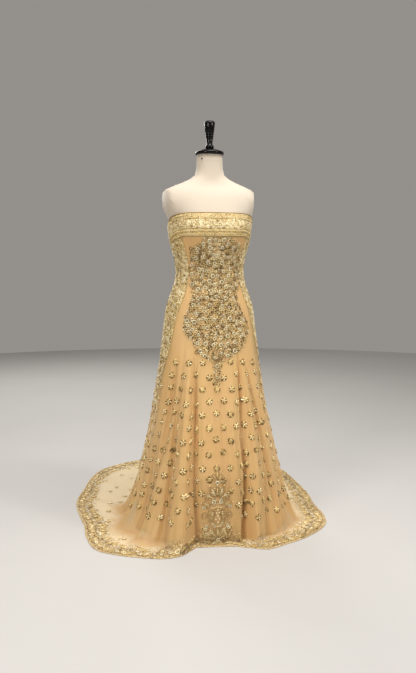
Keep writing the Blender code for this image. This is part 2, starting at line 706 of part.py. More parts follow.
# ---- the dress form and its stand ----------------------------------------------------
def make_torso():
    """Lofted through level sections, with a flat face at each armhole."""
    turns = np.arange(FORM_COLUMNS) * 360.0 / FORM_COLUMNS
    points = []
    for height in FORM_HEIGHTS:
        ease = smooth(FIGURE, "height", "ease", height)
        radius = figure_radius(turns, np.full_like(turns, height), ease)
        points.append(on_circle(turns, radius, np.full_like(turns, height)))
    rows = len(points)
    faces = [tuple(range(FORM_COLUMNS))]
    for row in range(rows - 1):
        for column in range(FORM_COLUMNS):
            a = row * FORM_COLUMNS + column
            b = row * FORM_COLUMNS + (column + 1) % FORM_COLUMNS
            faces.append((a, b, b + FORM_COLUMNS, a + FORM_COLUMNS))
    faces.append(tuple(range(rows * FORM_COLUMNS - 1, (rows - 1) * FORM_COLUMNS - 1, -1)))
    solid = bmesh.new()
    solid.from_mesh(mesh_from("loft", np.concatenate(points), faces))
    forward = math.radians(ARMHOLE_FORWARD)
    down = math.radians(ARMHOLE_DOWN)
    for side in (-1, 1):
        facing = Vector((side * math.cos(forward), -math.sin(forward), -math.tan(down)))
        cut = bmesh.ops.bisect_plane(
            solid, geom=solid.verts[:] + solid.edges[:] + solid.faces[:], dist=TOUCHING,
            plane_co=(side * ARMHOLE_X, 0, ARMHOLE_HEIGHT), plane_no=facing, clear_outer=True)
        rim = [item for item in cut["geom_cut"] if isinstance(item, bmesh.types.BMEdge)]
        bmesh.ops.contextual_create(solid, geom=rim)
    bmesh.ops.recalc_face_normals(solid, faces=solid.faces)
    mesh = bpy.data.meshes.new("form_torso")
    solid.to_mesh(mesh)
    solid.free()
    mesh.shade_smooth()
    mesh.set_sharp_from_angle(angle=SHARP_ANGLE)
    put("form_torso", mesh, "cream_jersey")


def handle_profile():
    """Collar, then a grip that widens upwards to a round top, with three grooves."""
    straight_top = HANDLE_HEIGHT - HANDLE_ROUNDING
    profile = [(0.0, HANDLE_HEIGHT)]
    for bend in (60, 30, 0):
        angle = math.radians(bend)
        profile.append((GRIP_TOP_RADIUS * math.cos(angle) ** ROUNDING_POWER,
                        straight_top + HANDLE_ROUNDING * math.sin(angle)))

    def grip_radius(level):
        share = (level - GRIP_BOTTOM) / (straight_top - GRIP_BOTTOM)
        widening = (GRIP_TOP_RADIUS - GRIP_BOTTOM_RADIUS) * share ** GRIP_POWER
        return GRIP_BOTTOM_RADIUS + widening

    for level in reversed(GROOVE_HEIGHTS):
        upper = level + GROOVE_HALF_WIDTH
        lower = level - GROOVE_HALF_WIDTH
        profile += [(grip_radius(upper), upper),
                    (grip_radius(level) - GROOVE_DEPTH, level),
                    (grip_radius(lower), lower)]
    return profile + [(GRIP_BOTTOM_RADIUS, GRIP_BOTTOM), *COLLAR_PROFILE]


def make_form():
    make_torso()
    cap_bottom = NECK_TOP + GAP
    turned("neck_cap", CAP_PROFILE, "black_lacquer", CAP_STEPS, cap_bottom)
    turned("cap_handle", handle_profile(), "black_lacquer", HANDLE_STEPS,
           cap_bottom + CAP_PROFILE[0][1] + GAP)

    ease = smooth(FIGURE, "height", "ease", SCREW_HEIGHT)
    neck = figure_radius(SCREW_TURN, SCREW_HEIGHT, ease)
    middle = on_circle(SCREW_TURN, neck + GAP + SCREW_LENGTH / 2, SCREW_HEIGHT)
    mesh = bpy.data.meshes.new("neck_screw")
    screw = bmesh.new()
    bmesh.ops.create_cone(screw, cap_ends=True, segments=SCREW_STEPS, radius1=SCREW_RADIUS,
                          radius2=SCREW_TOP_RADIUS, depth=SCREW_LENGTH)
    screw.to_mesh(mesh)
    screw.free()
    head = put("neck_screw", mesh, "black_steel", middle)
    outward = Vector((middle[0], middle[1], 0.0))
    head.rotation_euler = outward.to_track_quat("Z", "X").to_euler()


def make_stand():
    turned("stand_base", BASE_PROFILE, "black_steel", BASE_STEPS, 0.0)
    pole_bottom = BOSS_TOP + GAP
    length = FORM_BOTTOM - GAP - pole_bottom
    mesh = bpy.data.meshes.new("stand_pole")
    pole = bmesh.new()
    bmesh.ops.create_cone(pole, cap_ends=True, segments=POLE_STEPS, radius1=POLE_RADIUS,
                          radius2=POLE_RADIUS, depth=length)
    pole.to_mesh(mesh)
    pole.free()
    mesh.shade_smooth()
    mesh.set_sharp_from_angle(angle=SHARP_ANGLE)
    put("stand_pole", mesh, "black_steel", (0, 0, pole_bottom + length / 2))


def build():
    for old in list(bpy.data.objects):
        bpy.data.objects.remove(old, do_unlink=True)
    for name in (COLLECTION, "cutters"):
        bpy.context.scene.collection.children.link(bpy.data.collections.new(name))
    grain, spans = grain_columns()
    grid = outer_grid(grain)
    normals = grid_normals(grid)
    make_outer_panels(grid, normals, spans)
    make_lining(grain, spans)
    make_band(grid, normals, spans)
    make_side_lace()
    make_piping(grid, normals)
    make_zip(grid, normals)
    make_form()
    make_stand()


build()
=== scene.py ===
# Strapless evening gown of beaded gold tulle with a train, on a limbless dress form.
#
# Metres, +Z up. The gown's front faces -Y, and the origin is the middle of the stand's
# base. "Left" and "right" are those of a viewer facing the front. A turn is an angle in
# degrees about +Z from the centre front, positive to the right. A level is a height above
# the floor, or below zero a distance out along the floor past where the cloth touches it.
import math
from collections import namedtuple

import bpy
import numpy as np
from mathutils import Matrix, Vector


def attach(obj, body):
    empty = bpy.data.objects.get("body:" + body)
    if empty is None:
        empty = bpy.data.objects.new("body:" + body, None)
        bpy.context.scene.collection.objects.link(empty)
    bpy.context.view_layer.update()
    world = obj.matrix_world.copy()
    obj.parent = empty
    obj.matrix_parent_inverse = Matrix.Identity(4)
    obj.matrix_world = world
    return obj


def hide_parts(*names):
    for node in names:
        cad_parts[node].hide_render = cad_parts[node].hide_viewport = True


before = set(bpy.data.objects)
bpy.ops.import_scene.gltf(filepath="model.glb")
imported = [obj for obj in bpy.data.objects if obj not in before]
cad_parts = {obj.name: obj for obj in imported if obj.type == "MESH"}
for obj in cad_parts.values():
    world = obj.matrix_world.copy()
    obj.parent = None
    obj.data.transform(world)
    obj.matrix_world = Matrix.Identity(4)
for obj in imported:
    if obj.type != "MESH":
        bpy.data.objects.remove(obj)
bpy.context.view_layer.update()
BODY = "gown_on_form"
PULL_BODY = "zip_pull_tab"
SEED = 11
SHARP_ANGLE = math.radians(38)
MERGE_DISTANCE = 0.00002


def table(columns, *rows):
    """Rows of values with named columns."""
    row = namedtuple("row", columns)
    return [row(*values) for values in rows]


# ---- the gown's form, as the frame has it ----------------------------------------------
GAP = 0.0003            # between neighbours that touch
TULLE = 0.0012          # thicknesses
BAND = 0.0015
LACE = 0.0012
STRIP_CLEARANCE = 0.0016
WAIST = 1.047           # heights
FLARE_TOP = 0.26        # below this the skirt sweeps out to the floor
LINING_HEM = 0.012
BAND_DEPTH = 0.092
FLARE_SLOPE = 0.22      # metres out for each metre down, where the sweep begins
LEAST_SPREAD = 0.004
LEAST_SWEEP = 0.3
LEAST_FLOOR_RUN = 0.008
SECTION_POWER = 2.15    # 2 is an ellipse, more is squarer

# The figure under the gown: half its width, and how far it reaches to the front and back.
FIGURE = table(
    "height half_width front back",
    (1.3350, 0.2100, 0.0930, 0.1210),
    (1.3050, 0.2020, 0.1040, 0.1220),
    (1.2750, 0.1800, 0.1150, 0.1190),
    (1.2500, 0.1700, 0.1230, 0.1180),
    (1.2250, 0.1670, 0.1265, 0.1160),
    (1.1900, 0.1635, 0.1240, 0.1110),
    (1.1500, 0.1545, 0.1160, 0.1040),
    (1.1000, 0.1400, 0.1050, 0.0960),
    (WAIST, 0.1345, 0.1000, 0.0915),
    (1.0050, 0.1405, 0.1040, 0.0970),
    (0.9700, 0.1520, 0.1100, 0.1080),
    (0.9250, 0.1680, 0.1170, 0.1250),
    (0.8850, 0.1775, 0.1200, 0.1360),
    (0.8500, 0.1820, 0.1240, 0.1420),
    (0.8000, 0.1880, 0.1330, 0.1520),
    (0.7000, 0.2010, 0.1540, 0.1800),
    (0.6000, 0.2175, 0.1790, 0.2130),
    (0.5000, 0.2320, 0.2050, 0.2480),
    (0.4000, 0.2510, 0.2310, 0.2880),
    (FLARE_TOP, 0.2800, 0.2660, 0.3450),
)
BUST_RISE = 0.010       # the bust stands out this far, at a turn to each side
BUST_TURN = 36.0
BUST_SPREAD = 19.0
BUST_HEIGHT = 1.205
BUST_HEIGHT_SPREAD = 0.045

# Height of the top edge, the same on both sides.
NECKLINE = table(
    "turn height",
    (0, 1.278),
    (45, 1.278),
    (60, 1.274),
    (77, 1.261),
    (90, 1.243),
    (103, 1.224),
    (125, 1.204),
    (150, 1.193),
    (180, 1.190),
)

# From the axis to where the cloth touches the floor, and on to the edge of the hem.
HEM = table(
    "turn touch reach",
    (-180, 0.520, 1.020),
    (-170, 0.520, 0.985),
    (-156, 0.500, 0.918),
    (-148, 0.480, 0.832),
    (-137, 0.450, 0.720),
    (-123, 0.430, 0.640),
    (-105, 0.410, 0.552),
    (-92, 0.400, 0.523),
    (-80, 0.400, 0.531),
    (-66, 0.405, 0.546),
    (-58, 0.400, 0.523),
    (-46, 0.370, 0.482),
    (-35, 0.325, 0.447),
    (-28, 0.310, 0.400),
    (-22, 0.285, 0.312),
    (-8, 0.280, 0.304),
    (4, 0.280, 0.312),
    (13, 0.290, 0.350),
    (22, 0.310, 0.398),
    (34, 0.325, 0.408),
    (50, 0.340, 0.440),
    (74, 0.375, 0.492),
    (94, 0.385, 0.500),
    (117, 0.420, 0.598),
    (131, 0.450, 0.717),
    (139, 0.470, 0.818),
    (150, 0.490, 0.905),
    (165, 0.510, 0.985),
    (180, 0.520, 1.020),
)

# Large folds: turn at the hem and at the top, height where they start, reach to each side
# in degrees, and how far they stand out at the hem.
FOLD_GROWTH = 1.2
FOLD_NARROWING = 0.4
FOLDS = table(
    "hem_turn top_turn start reach_left reach_right rise",
    (-29, -34, 0.76, 20, 4, 0.072),
    (-43, -50, 0.84, 7, 6, -0.020),
    (-57, -62, 0.72, 9, 7, 0.020),
    (-72, -74, 0.62, 8, 8, -0.018),
    (-88, -86, 0.66, 9, 8, 0.018),
    (-106, -102, 0.70, 9, 9, -0.024),
    (-122, -118, 0.74, 9, 8, 0.026),
    (-139, -136, 0.80, 9, 9, -0.030),
    (-157, -155, 0.82, 10, 9, 0.030),
    (-173, -172, 0.84, 8, 7, -0.026),
    (-9, -6, 0.52, 9, 9, 0.008),
    (2, 4, 0.60, 5, 5, -0.008),
    (14, 30, 0.66, 4, 3, -0.030),
    (22, 38, 0.70, 6, 7, 0.020),
    (34, 47, 0.68, 4, 4, -0.018),
    (44, 55, 0.66, 6, 6, 0.016),
    (56, 64, 0.66, 5, 5, -0.018),
    (70, 74, 0.62, 8, 8, 0.016),
    (86, 88, 0.66, 7, 8, -0.018),
    (102, 101, 0.70, 8, 9, 0.020),
    (120, 117, 0.74, 9, 9, -0.026),
    (137, 134, 0.78, 9, 9, 0.028),
    (154, 152, 0.82, 8, 9, -0.030),
    (170, 170, 0.84, 9, 9, 0.026),
)

# The outer layer's panels, between the grain lines of their seams.
PANELS = table(
    "name start end",
    ("back_centre_left", -180, -148),
    ("back_side_left", -148, -92),
    ("front_side_left", -92, -34),
    ("front_centre", -34, 34),
    ("front_side_right", 34, 92),
    ("back_side_right", 92, 148),
    ("back_centre_right", 148, 180),
)
# Turn of each seam on its way down; those at the side and back lie on both sides.
SEAMS = table(
    "height front_left front_right side back",
    (1.278, -37.0, 37.0, 92, 140),
    (WAIST, -34.0, 34.0, 91, 146),
    (0.880, -32.0, 34.0, 91, 148),
    (0.600, -30.5, 29.0, 91, 148),
    (0.300, -27.0, 19.5, 92, 149),
    (0.000, -24.0, 14.0, 93, 150),
)
# How far the under layer lies inside the gown's form.
LINING_DROP = table(
    "height inset",
    (1.300, 0.00037),
    (0.900, 0.00037),
    (0.850, 0.0030),
    (0.790, 0.0080),
    (0.700, 0.0120),
    (FLARE_TOP, 0.0160),
)
LINING_RIDGES = 0.5     # share of the large ridges that the under layer follows
LINING_SLOPE = 0.22     # it widens no faster than this below the flare's top
LINING_BESIDE = 4.0     # degrees: the under layer bridges folds narrower than this

# ---- what the cloth does between the large folds ---------------------------------------
# Creases: where each starts, its turn there, halfway down and at the floor, its reach to
# each side in degrees, and how far it stands out (a trough is below 0).
CREASE_MIDDLE = 0.40
CREASE_GROWTH = 0.20    # metres down to its full depth
CREASES = table(
    "start top_turn mid_turn hem_turn left right rise",
    (0.74, -41, -36, -33, 11, 3, 0.008),
    (0.76, -37, -29.5, -26.5, 2.2, 7, -0.023),
    (0.62, -1, -1.5, -4, 4, 4, -0.006),
    (0.70, 22, 12, 9, 7, 4, 0.006),
    (0.76, 33, 20, 18, 3.5, 4, -0.020),
    (0.70, 37, 31, 30, 5, 6, 0.006),
    (0.74, 40, 44.5, 44, 3, 3, -0.014),
    (0.70, 50, 54, 55, 5, 6, 0.008),
    (0.68, 63, 65, 66, 5, 5, -0.010),
    (0.74, -58, -58, -68, 6, 5, -0.015),
    (0.56, -50, -49, -47.5, 2.5, 2, -0.009),
    (0.66, -45, -43, -40, 3, 3, 0.005),
    (0.68, -72, -74, -80, 7, 7, 0.006),
    (0.66, -87, -89, -94, 6, 6, -0.010),
    (0.70, -104, -106, -109, 8, 6, 0.006),
    (0.74, -118, -121, -125, 5, 6, -0.013),
    (0.70, -134, -137, -139, 7, 6, 0.007),
    (0.76, -149, -151, -152, 5, 7, -0.013),
    (0.72, -166, -167, -168, 6, 6, 0.006),
    (0.70, 80, 81, 83, 6, 6, 0.005),
    (0.66, 94, 96, 99, 6, 6, -0.011),
    (0.70, 109, 112, 114, 6, 8, 0.006),
    (0.74, 125, 128, 130, 7, 5, -0.013),
    (0.70, 141, 143, 146, 6, 6, 0.006),
    (0.76, 156, 159, 161, 5, 6, -0.013),
    (0.72, 173, 174, 175, 6, 5, 0.005),
)
# Fine gathers: how many go round, where they start, how high up they reach, how high they
# stand at the hem, and how many degrees they wander sideways on the way.
GATHERS = table(
    "count start top rise wander",
    (29, 40, 0.76, 0.0058, 4.0),
    (43, 200, 0.70, 0.0036, -5.5),
    (71, 95, 0.62, 0.0016, 7.5),
)
GATHER_SWELL = 5        # the gathers swell and fade this many times round
GATHER_FADE = 0.35
SWELL_SLANT = 70        # degrees that the swell drifts for each metre up
GATHER_INWARD = 0.85    # share of their height that lies inside the skirt's form
GATHER_GROWTH = 0.7
DEEP_TROUGH = 0.022     # a trough this deep takes the full painted shade
RECESS_SHADE = 0.30           # painted shade of the front between its two long folds
RECESS_SHADE_TURN = -4.0      # its middle
RECESS_SHADE_SPREAD = 17.0
RECESS_SHADE_TOP = 0.76       # height
SEAM_DIP = 0.0007       # the panel seams lie this deep
SEAM_SPREAD = 0.9       # degrees
# Ripples of the train: how many go round, where they start, how fast they turn on the way
# out along the floor, in radians a metre, and how high they stand.
RIPPLES = table(
    "count start outward rise",
    (17, 50, 0, 0.00125),
    (31, 0, 0, 0.00075),
    (5, 0, 18, 0.00100),
)
SEWN_LIFT = 0.0009      # beads stand this far off the tulle, on their threads
TRAIN_LIFT = 0.0006     # the cloth on the floor lies this far above it
FLOOR_BEND = 0.03       # below this height the cloth bends over onto the floor
FOLD_ON_FLOOR = 0.38    # share of a ridge's rise that it keeps where it lies down
FOLD_FLATTENING = 1.6   # how fast that flattens on the way out
PROBE_TURN = 0.05       # degrees to each side of a point, between which its slope is taken
PROBE_LEVEL = 0.0008

# What goes round in three parts: the under layer and the band
WRAPS = table(
    "name start end",
    ("back_left", -180, -92),
    ("front", -92, 92),
    ("back_right", 92, 180),
)

# Mesh of the cloth
SHEET_LIFT = TULLE * 0.8    # the visible sheet lies this far out in the tulle's thickness
FLOOR_VEIL = 0.1        # how dense the tulle looks where it lies down, and how much painted shade it takes there
COLUMN_STEP = 0.75      # degrees
ROW_SPREAD = 1.12       # the skirt's rows crowd together a little towards the hem
BAND_ROWS = 17
BODICE_ROWS = 24
SKIRT_ROWS = 64
FLOOR_ROWS = 16
LINING_STEP = 2.0
LINING_ROWS = 40

# ---- where the beading lies ------------------------------------------------------------
# Turn of the front's middle, as the skirt is turned a little by its drape.
CENTRE_LINE = table(
    "height turn",
    (1.18, -1.0),
    (0.86, 0.0),
    (0.60, -4.0),
    (0.30, -7.0),
    (0.00, -7.0),
)
# Edges of the medallion on the front, with its tail.
MEDALLION = table(
    "height left right",
    (1.188, -20, 24),
    (1.166, -30, 38),
    (1.142, -44, 54),
    (1.116, -51, 57),
    (1.036, -54, 60),
    (0.996, -50, 54),
    (0.956, -44, 43),
    (0.920, -46, 44),
    (0.880, -52, 50),
    (0.828, -54, 57),
    (0.800, -50, 55),
    (0.776, -40, 50),
    (0.752, -35, 45),
    (0.730, -30, 32),
    (0.710, -17, 14),
    (0.690, -9, 6),
    (0.604, -8, 1),
)
# Edges of the strip over each side seam.
SIDE_STRIP = table(
    "height front_edge back_edge",
    (1.190, 58, 118),
    (1.047, 55, 116),
    (0.960, 57, 114),
    (0.880, 64, 110),
    (0.700, 73, 103),
    (0.590, 80, 98),
    (0.470, 88, 93),
)
SIDES = (("left", -1), ("right", 1))
STRIP_SHELL_HEM = 0.700     # a strip is a wall down to here, and beads on tulle below
STRIP_UNDER_BAND = 0.0012   # gap between the band's lower edge and a strip
SHELL_EDGE = 0.12       # share of a beaded wall's thickness and clearance at its edges
STRIP_COLUMNS = 30
STRIP_ROWS = 60
BAND_LINES = (0.0215, 0.0600, 0.0720, 0.0885)   # cords, down from the neckline
CORD_RADIUS = 0.0009
CORD_SIDES = 7
CORD_TWIST = 0.10       # share by which a cord's radius swells with its strands
PIPING_RADIUS = 0.0021
PIPING_LIFT = TULLE * 0.6
PIPING_RISE = 0.0018    # its middle lies this far above the neckline
ON_TULLE = SHEET_LIFT + SEWN_LIFT       # how far out beads lie on each ground
ON_BAND = TULLE + GAP + BAND
ON_STRIP = TULLE + STRIP_CLEARANCE + LACE
BODICE_DEGREE = 0.0026  # metres along the bodice for each degree
FAR_AWAY = (0.0, 2.0)   # an anchor that is near nothing
ZIP_PLACKET = 177.7     # degrees: the back opening is free of beads beyond this
ZIP_MOTIFS = 172.8      # and of the band's larger motifs beyond this
HEM_LACE = 0.105        # height of the beaded border
MEDALLION_FADE = 3.0    # degrees in which the worked ground fades at an edge
STRIP_FADE = 2.0
HEM_FADE = 0.6
HEM_COVER = 0.75        # share of the tulle that the border's threads cover at the hem

# ---- colours ---------------------------------------------------------------------------
TULLE_LIGHT = (0.890, 0.615, 0.262)
TULLE_DEEP = (0.790, 0.510, 0.195)
# Painted light: the tulle is paler where it lies on the floor.
TULLE_LIT_ON_FLOOR = (0.990, 0.780, 0.440)
# Painted shade: the tulle's steep fold sides and troughs are darkened towards this colour.
TULLE_PAINTED_SHADE = (0.520, 0.300, 0.110)
TULLE_WORKED = (0.330, 0.225, 0.115)
SATIN_LIGHT = (0.600, 0.365, 0.195)
SATIN_DEEP = (0.500, 0.290, 0.150)
BEAD_DARK = (0.090, 0.055, 0.020)
BEAD_BRONZE = (0.330, 0.210, 0.080)
BEAD_GOLD = (0.740, 0.520, 0.190)
BEAD_PALE = (0.930, 0.740, 0.360)
BEAD_CREAM = (0.990, 0.900, 0.620)
CREAM_LIGHT = (0.500, 0.435, 0.350)
CREAM_DEEP = (0.480, 0.405, 0.325)
CORD_DARK = (0.12, 0.075, 0.025)
CORD_LIGHT = (0.42, 0.28, 0.10)
LACQUER_BLACK = (0.002, 0.002, 0.002)
LACQUER_DUST = (0.010, 0.009, 0.009)
STEEL_BLACK = (0.018, 0.018, 0.019)
STEEL_SCUFF = (0.034, 0.033, 0.032)
BRASS_DEEP = (0.62, 0.42, 0.16)
BRASS_LIGHT = (0.80, 0.62, 0.30)
FLOOR_LIGHT = (0.52, 0.51, 0.50)
FLOOR_DEEP = (0.50, 0.49, 0.48)
WORLD_LIGHT = (0.92, 0.87, 0.81, 1.0)

# Tints of the beads, from dark bronze to cream
DARK, BRONZE, GOLD, PALE, CREAM = 0.0, 0.25, 0.5, 0.75, 1.0


# ---- reading the tables ----------------------------------------------------------------
def smooth(rows, column, at, key="height"):
    """A table's column, read along a curve that never overshoots its rows."""
    rows = sorted(rows, key=lambda row: getattr(row, key))
    knots = np.array([getattr(row, key) for row in rows], float)
    values = np.array([getattr(row, column) for row in rows], float)
    steps = np.diff(knots)
    slopes = np.diff(values) / steps
    before, after = slopes[:-1], slopes[1:]
    turns_back = before * after <= 0
    safe_before = np.where(turns_back, 1.0, before)
    safe_after = np.where(turns_back, 1.0, after)
    weight_a = 2 * steps[1:] + steps[:-1]
    weight_b = steps[1:] + 2 * steps[:-1]
    inner = (weight_a + weight_b) / (weight_a / safe_before + weight_b / safe_after)
    tangents = np.concatenate(([slopes[0]], np.where(turns_back, 0.0, inner), [slopes[-1]]))
    at = np.clip(np.asarray(at, float), knots[0], knots[-1])
    i = np.clip(np.searchsorted(knots, at) - 1, 0, len(steps) - 1)
    t = (at - knots[i]) / steps[i]
    rise = (values[i] * (1 + 2 * t) + steps[i] * tangents[i] * t) * (1 - t) ** 2
    return rise + (values[i + 1] * (3 - 2 * t) - steps[i] * tangents[i + 1] * (1 - t)) * t ** 2


def read(rows, height, *columns):
    """Several columns of a table, at the same heights."""
    return [smooth(rows, column, height) for column in columns]


def wrapped(turn):
    """The same turn between -180 and 180."""
    return (np.asarray(turn, float) + 180.0) % 360.0 - 180.0


def neckline_height(turn):
    """Height of the gown's top edge at a turn."""
    return smooth(NECKLINE, "height", np.abs(wrapped(turn)), key="turn")


def figure_radius(turn, height):
    """From the axis to the figure, at a turn and height."""
    angle = np.radians(turn)
    wide, front, back = read(FIGURE, height, "half_width", "front", "back")
    deep = np.where(np.cos(angle) > 0, front, back)
    across = (np.abs(np.sin(angle)) / wide) ** SECTION_POWER
    along = (np.abs(np.cos(angle)) / deep) ** SECTION_POWER
    off_turn = (np.abs(wrapped(turn)) - BUST_TURN) / BUST_SPREAD
    off_height = (height - BUST_HEIGHT) / BUST_HEIGHT_SPREAD
    bust = BUST_RISE * np.exp(-off_turn ** 2 - off_height ** 2)
    return (across + along) ** (-1 / SECTION_POWER) + bust


def skirt_radius(turn, height):
    """Radius of the outer layer, before its folds."""
    upper = figure_radius(turn, np.maximum(height, FLARE_TOP))
    touch = smooth(HEM, "touch", wrapped(turn), key="turn")
    spread = np.maximum(touch - upper, LEAST_SPREAD)
    power = np.clip(FLARE_SLOPE * FLARE_TOP / spread, LEAST_SWEEP, 1.0)
    share = (np.clip(height, 0.0, FLARE_TOP) / FLARE_TOP) ** power
    return upper + spread * (1.0 - share)


def hump(turn, middle, left, right):
    """1 on a fold's middle line, falling to 0 at its reach to each side."""
    off = wrapped(turn - middle)
    across = np.clip(np.abs(off) / np.where(off < 0, left, right), 0.0, 1.0)
    return (1 - across ** 2) ** 2


def fold_rise(turn, height, ridges=1.0):
    """How far the large folds stand out of the skirt (ridges are scaled, troughs are not)."""
    total = np.zeros(np.broadcast(turn, height).shape)
    for fold in FOLDS:
        along = np.clip(height / fold.start, 0.0, 1.0)
        middle = fold.hem_turn + (fold.top_turn - fold.hem_turn) * along
        narrowing = 1 - FOLD_NARROWING * along
        rise = fold.rise * (1 - along) ** FOLD_GROWTH * hump(
            turn, middle, fold.reach_left * narrowing, fold.reach_right * narrowing)
        total += rise * (ridges if fold.rise > 0 else 1.0)
    return total


def gather_rise(turn, height):
    """Fine gathers, peaked like real ones, and uneven round the skirt."""
    swell = 1 + GATHER_FADE * (
        np.sin(np.radians(GATHER_SWELL * turn + SWELL_SLANT * height)) - 1)
    total = np.zeros(np.broadcast(turn, height).shape)
    for gather in GATHERS:
        along = np.clip(height / gather.top, 0.0, 1.0)
        sway = turn + gather.wander * along * np.sin(np.radians(3 * turn + gather.start))
        peak = (0.5 + 0.5 * np.cos(np.radians(gather.count * sway + gather.start))) ** 2
        total += gather.rise * (peak - GATHER_INWARD) * (1 - along) ** GATHER_GROWTH
    return total * swell


def crease_rise(turn, height, ridges=1.0):
    """The creases between the large folds (ridges are scaled, troughs are not)."""
    total = np.zeros(np.broadcast(turn, height).shape)
    for crease in CREASES:
        upper = np.clip((height - CREASE_MIDDLE) / (crease.start - CREASE_MIDDLE), 0.0, 1.0)
        lower = np.clip(height / CREASE_MIDDLE, 0.0, 1.0)
        middle = np.where(height > CREASE_MIDDLE,
                          crease.mid_turn + (crease.top_turn - crease.mid_turn) * upper,
                          crease.hem_turn + (crease.mid_turn - crease.hem_turn) * lower)
        grown = np.clip((crease.start - height) / CREASE_GROWTH, 0.0, 1.0)
        grown = grown ** 2 * (3 - 2 * grown)
        rise = crease.rise * grown * hump(turn, middle, crease.left, crease.right)
        total += rise * (ridges if crease.rise > 0 else 1.0)
    return total


def seam_dip(turn, height):
    """The shallow groove that each seam's stitches draw."""
    total = np.zeros(np.broadcast(turn, height).shape)
    front_left, front_right, side, back = read(
        SEAMS, height, "front_left", "front_right", "side", "back")
    for seam in (front_left, front_right, side, -side, back, -back, 180.0):
        total += np.exp(-(wrapped(turn - seam) / SEAM_SPREAD) ** 2)
    return -SEAM_DIP * total


def on_circle(turn, radius, height):
    """Points from turns, radii and heights."""
    angle = np.radians(turn)
    return np.stack((radius * np.sin(angle), -radius * np.cos(angle), height), axis=-1)


def seam_turns(grain, height):
    """Turn of a grain line at a height: the seams drift as the skirt widens."""
    grain, height = np.broadcast_arrays(grain, height)
    knots = np.array([panel.start for panel in PANELS] + [PANELS[-1].end], float)
    left, right, side, back = read(SEAMS, height, "front_left", "front_right", "side", "back")
    edge = np.full(height.shape, 180.0)
    lines = np.stack((-edge, -back, -side, left, right, side, back, edge), axis=-1)
    i = np.clip(np.searchsorted(knots, grain) - 1, 0, len(knots) - 2)
    t = (grain - knots[i]) / (knots[i + 1] - knots[i])
    low = np.take_along_axis(lines, i[..., None], axis=-1)[..., 0]
    high = np.take_along_axis(lines, i[..., None] + 1, axis=-1)[..., 0]
    return low + (high - low) * t


# ---- the surfaces ----------------------------------------------------------------------
def tulle_radius(turn, height):
    """Radius of the outer layer, with its folds, creases, gathers and seams."""
    return (skirt_radius(turn, height) + fold_rise(turn, height)
            + crease_rise(turn, height) + gather_rise(turn, height) + seam_dip(turn, height))


def floor_run(turn):
    """How far the cloth lies out along the floor."""
    reach = smooth(HEM, "reach", wrapped(turn), key="turn")
    return np.maximum(reach - tulle_radius(turn, np.zeros_like(turn)), LEAST_FLOOR_RUN)


def tulle_points(turn, level):
    """The outer layer, down to the floor and out along it."""
    turn, level = np.broadcast_arrays(np.asarray(turn, float), np.asarray(level, float))
    height = np.maximum(level, 0.0)
    run = floor_run(turn)
    out = np.clip(-level, 0.0, run)
    share = out / run
    lying = np.clip((FLOOR_BEND - level) / FLOOR_BEND, 0.0, 1.0)
    ridge = np.maximum(fold_rise(turn, np.zeros_like(turn)), 0.0) * FOLD_ON_FLOOR
    wave = sum(ripple.rise * (1 + np.sin(np.radians(ripple.count * turn + ripple.start)
                                         + ripple.outward * out)) for ripple in RIPPLES)
    lift = lying * (TRAIN_LIFT + ridge * (1 - share) ** FOLD_FLATTENING
                    + wave * np.sin(np.pi * share))
    return on_circle(turn, tulle_radius(turn, height) + out, height + lift)


def tulle_frame(turn, level):
    """Points of the outer layer, its outward normals, and metres for each degree."""
    point = tulle_points(turn, level)
    level = np.maximum(level, PROBE_LEVEL - floor_run(np.asarray(turn, float)))
    around = tulle_points(turn + PROBE_TURN, level) - tulle_points(turn - PROBE_TURN, level)
    down = tulle_points(turn, level - PROBE_LEVEL) - tulle_points(turn, level + PROBE_LEVEL)
    normal = np.cross(down, around)
    normal /= np.linalg.norm(normal, axis=-1, keepdims=True)
    return point, normal, np.linalg.norm(around, axis=-1) / (2 * PROBE_TURN)


def lining_points(turn, height):
    """The under layer, which bridges the narrow folds."""
    low = np.maximum(height, FLARE_TOP)
    inset = smooth(LINING_DROP, "inset", low)
    folds = [fold_rise(turn + beside, height, LINING_RIDGES)
             + crease_rise(turn + beside, height, 0.0)
             for beside in (-LINING_BESIDE, 0.0, LINING_BESIDE)]
    hanging = skirt_radius(turn, height) - inset
    straight = figure_radius(turn, low) - inset + LINING_SLOPE * (low - height)
    return on_circle(turn, np.minimum(hanging, straight) + np.min(folds, axis=0), height)


def centre_turn(level):
    """Turn of the front's middle at a level."""
    return smooth(CENTRE_LINE, "turn", np.maximum(level, 0.0))


# ---- meshes ----------------------------------------------------------------------------
def new_piece(name, points, faces, material, body=BODY):
    """A piece from points and faces that all have the same number of corners."""
    mesh = bpy.data.meshes.new(name)
    corners = faces.shape[1]
    mesh.vertices.add(len(points))
    mesh.vertices.foreach_set("co", np.asarray(points, np.float32).ravel())
    mesh.loops.add(faces.size)
    mesh.loops.foreach_set("vertex_index", np.asarray(faces, np.int32).ravel())
    mesh.polygons.add(len(faces))
    mesh.polygons.foreach_set("loop_start", np.arange(0, faces.size, corners, dtype=np.int32))
    mesh.update(calc_edges=True)
    mesh.validate()
    mesh.shade_smooth()
    mesh.materials.append(material)
    piece = bpy.data.objects.new(name, mesh)
    bpy.context.scene.collection.objects.link(piece)
    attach(piece, body)
    return piece


def give(piece, name, values):
    """A number for each point of a piece, which its material reads by name."""
    attribute = piece.data.attributes.new(name, "FLOAT", "POINT")
    attribute.data.foreach_set("value", np.asarray(values, np.float32).ravel())


def grid_faces(rows, columns):
    """Faces of a grid whose rows run down and whose columns run to the right."""
    corner = np.arange(rows * columns).reshape(rows, columns)
    return np.stack((corner[:-1, :-1], corner[1:, :-1], corner[1:, 1:], corner[:-1, 1:]),
                    axis=-1).reshape(-1, 4)


